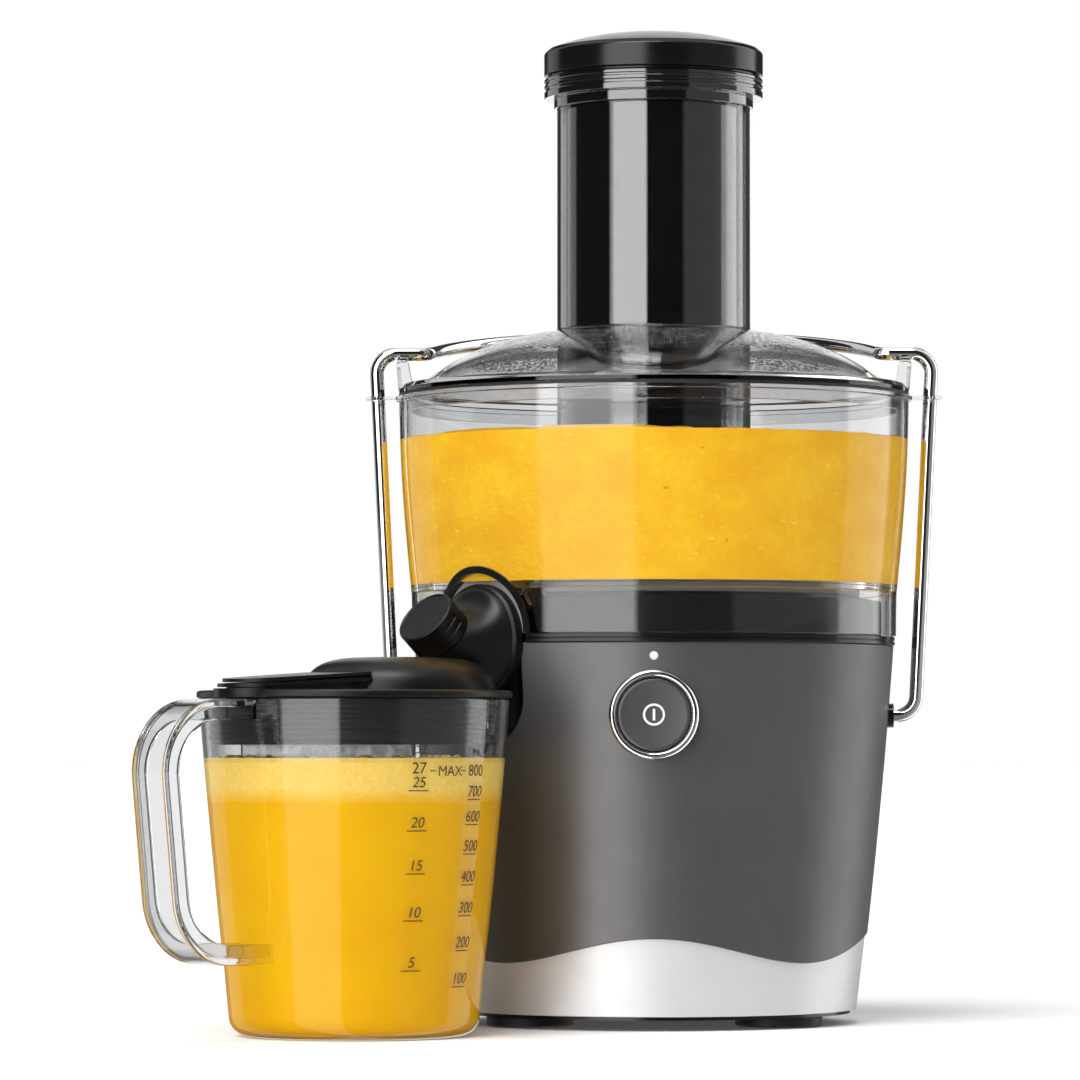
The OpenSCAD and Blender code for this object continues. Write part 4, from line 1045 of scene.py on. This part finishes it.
def spout_notch():
    """What the lid and its seal leave free for the spout."""
    return prism("notch", [(-70, 90), (-26, 90), (-26, 155), (-70, 155)], -22.5, 22.5, JUG)


leaves = [slab("tray", 1, 131.2, 134.5, 0), slab("core", 0.9, 132, 136.2, 3.2)]
for grow, z, rise in ((0.97, 134.9, 2.6), (0.93, 136.8, 3.2)):
    leaves.append(slab("leaf", grow, z, z + 1.3, rise))
join(plate, [skirt, hood] + leaves)
cut(plate, lathe("hood_inside", [(0, 128), (HOOD_R - HOOD_WALL, 128)] + hood_points(HOOD_WALL), HOOD, 0, 192),
    spout_notch())
round_edges(plate, 0.45, 2, 40)
done(plate, MATTE, "jug_cover", ["jug_lid", "lid_hood"])

ridges = []
for z in (115, 119, 123, 127):
    ridges += [(56.2, z - 0.4), (56.9, z, 0.4), (56.9, z + 1.6, 0.4), (56.2, z + 2)]
seal = lathe("jug_lid_seal_ribbed", [(55.7, 114)] + ridges[1:-1] + [(55.7, 129)], JUG, 0.2, 256)
cut(seal, spout_notch())
done(seal, MATTE, "jug_cover", ["jug_lid_seal"])

# ---------------------------------------------------------------- studio

floor_mesh = bpy.data.meshes.new("floor")
floor_mesh.from_pydata([(-30, -30, 0), (30, -30, 0), (30, 30, 0), (-30, 30, 0)], [], [(0, 1, 2, 3)])
floor = bpy.data.objects.new("floor", floor_mesh)
bpy.context.scene.collection.objects.link(floor)
floor.location.z = -0.0002
# Reflections see through most of the floor, to the world below it.
pale, tree, shader = new_material("pale_floor")
shader.inputs["Base Color"].default_value = (0.9, 0.9, 0.9, 1)
shader.inputs["Roughness"].default_value = 0.7
shader.inputs["Specular IOR Level"].default_value = 0.2
shader.inputs["Emission Color"].default_value = (1, 1, 1, 1)
shader.inputs["Emission Strength"].default_value = 0.05
mirrored = tree.math("MULTIPLY", tree.add("ShaderNodeLightPath").outputs["Is Glossy Ray"], 0.85)
tree.surface(tree.shaders(mirrored, shader.outputs[0], tree.add("ShaderNodeBsdfTransparent").outputs[0]))
floor_mesh.materials.append(pale)

world = bpy.data.worlds.new("studio")
bpy.context.scene.world = world
world.use_nodes = True
tree = Tree(world.node_tree)
x, y, height = tree.axes(tree.add("ShaderNodeTexCoord").outputs["Generated"])
bearing = tree.math("ARCTAN2", x, tree.math("MULTIPLY", y, -1.0))
turn = tree.spread(bearing, 0.0, 1.0, -math.pi, math.pi)
ramp = tree.add("ShaderNodeValToRGB")
tree.link(turn, ramp.inputs[0])
# Upright strips of light round the object: each stop is a bearing, with 0 at the camera, and its light.
STOPS = ((-180, 1.1), (-172, 1.1), (-169, 0.03), (-149, 0.03), (-147, 0.65), (-121, 0.65), (-118, 0.02),
         (-54, 0.02), (-53, 3.4), (-9, 3.4), (-8, 0.02), (37, 0.02), (38.5, 0.25), (83, 0.25), (97, 0.3),
         (99, 1.9), (132, 1.9), (136, 0.05), (169, 0.05), (172, 1.1), (180, 1.1))
BRIGHTEST = max(light for _, light in STOPS)


def strip_colour(light):
    return (*[light / BRIGHTEST] * 3, 1)


points = ramp.color_ramp.elements
for degrees, light in STOPS[1:-1]:
    points.new((degrees + 180) / 360).color = strip_colour(light)
points[0].color = strip_colour(STOPS[0][1])
points[len(points) - 1].color = strip_colour(STOPS[-1][1])
sides = tree.math("MULTIPLY", ramp.outputs["Color"], BRIGHTEST)
overhead = tree.spread(height, 0.0, 1.0, 0.8, 0.86)
in_front = tree.math("MULTIPLY", tree.spread(bearing, 0, 1, -1.25, -1.15),
                     tree.spread(bearing, 1, 0, 0.2, 0.3))
lamp_up = tree.math("MULTIPLY", tree.spread(height, 0, 1, 0.8, 0.82), tree.spread(height, 1, 0, 0.96, 0.98))
softbox = tree.math("MULTIPLY", tree.math("MULTIPLY", in_front, lamp_up), 9.0)
both = tree.blend(overhead, sides, tree.math("ADD", softbox, 0.8))
path = tree.add("ShaderNodeLightPath")
back = world.node_tree.nodes["Background"]
back.inputs["Color"].default_value = (1, 1, 1, 1)
tree.link(tree.blend(path.outputs["Is Camera Ray"], both, 1.0), back.inputs["Strength"])
world.cycles.sampling_method = "MANUAL"
world.cycles.sample_map_resolution = 1024

bpy.context.scene.view_settings.view_transform = "Standard"
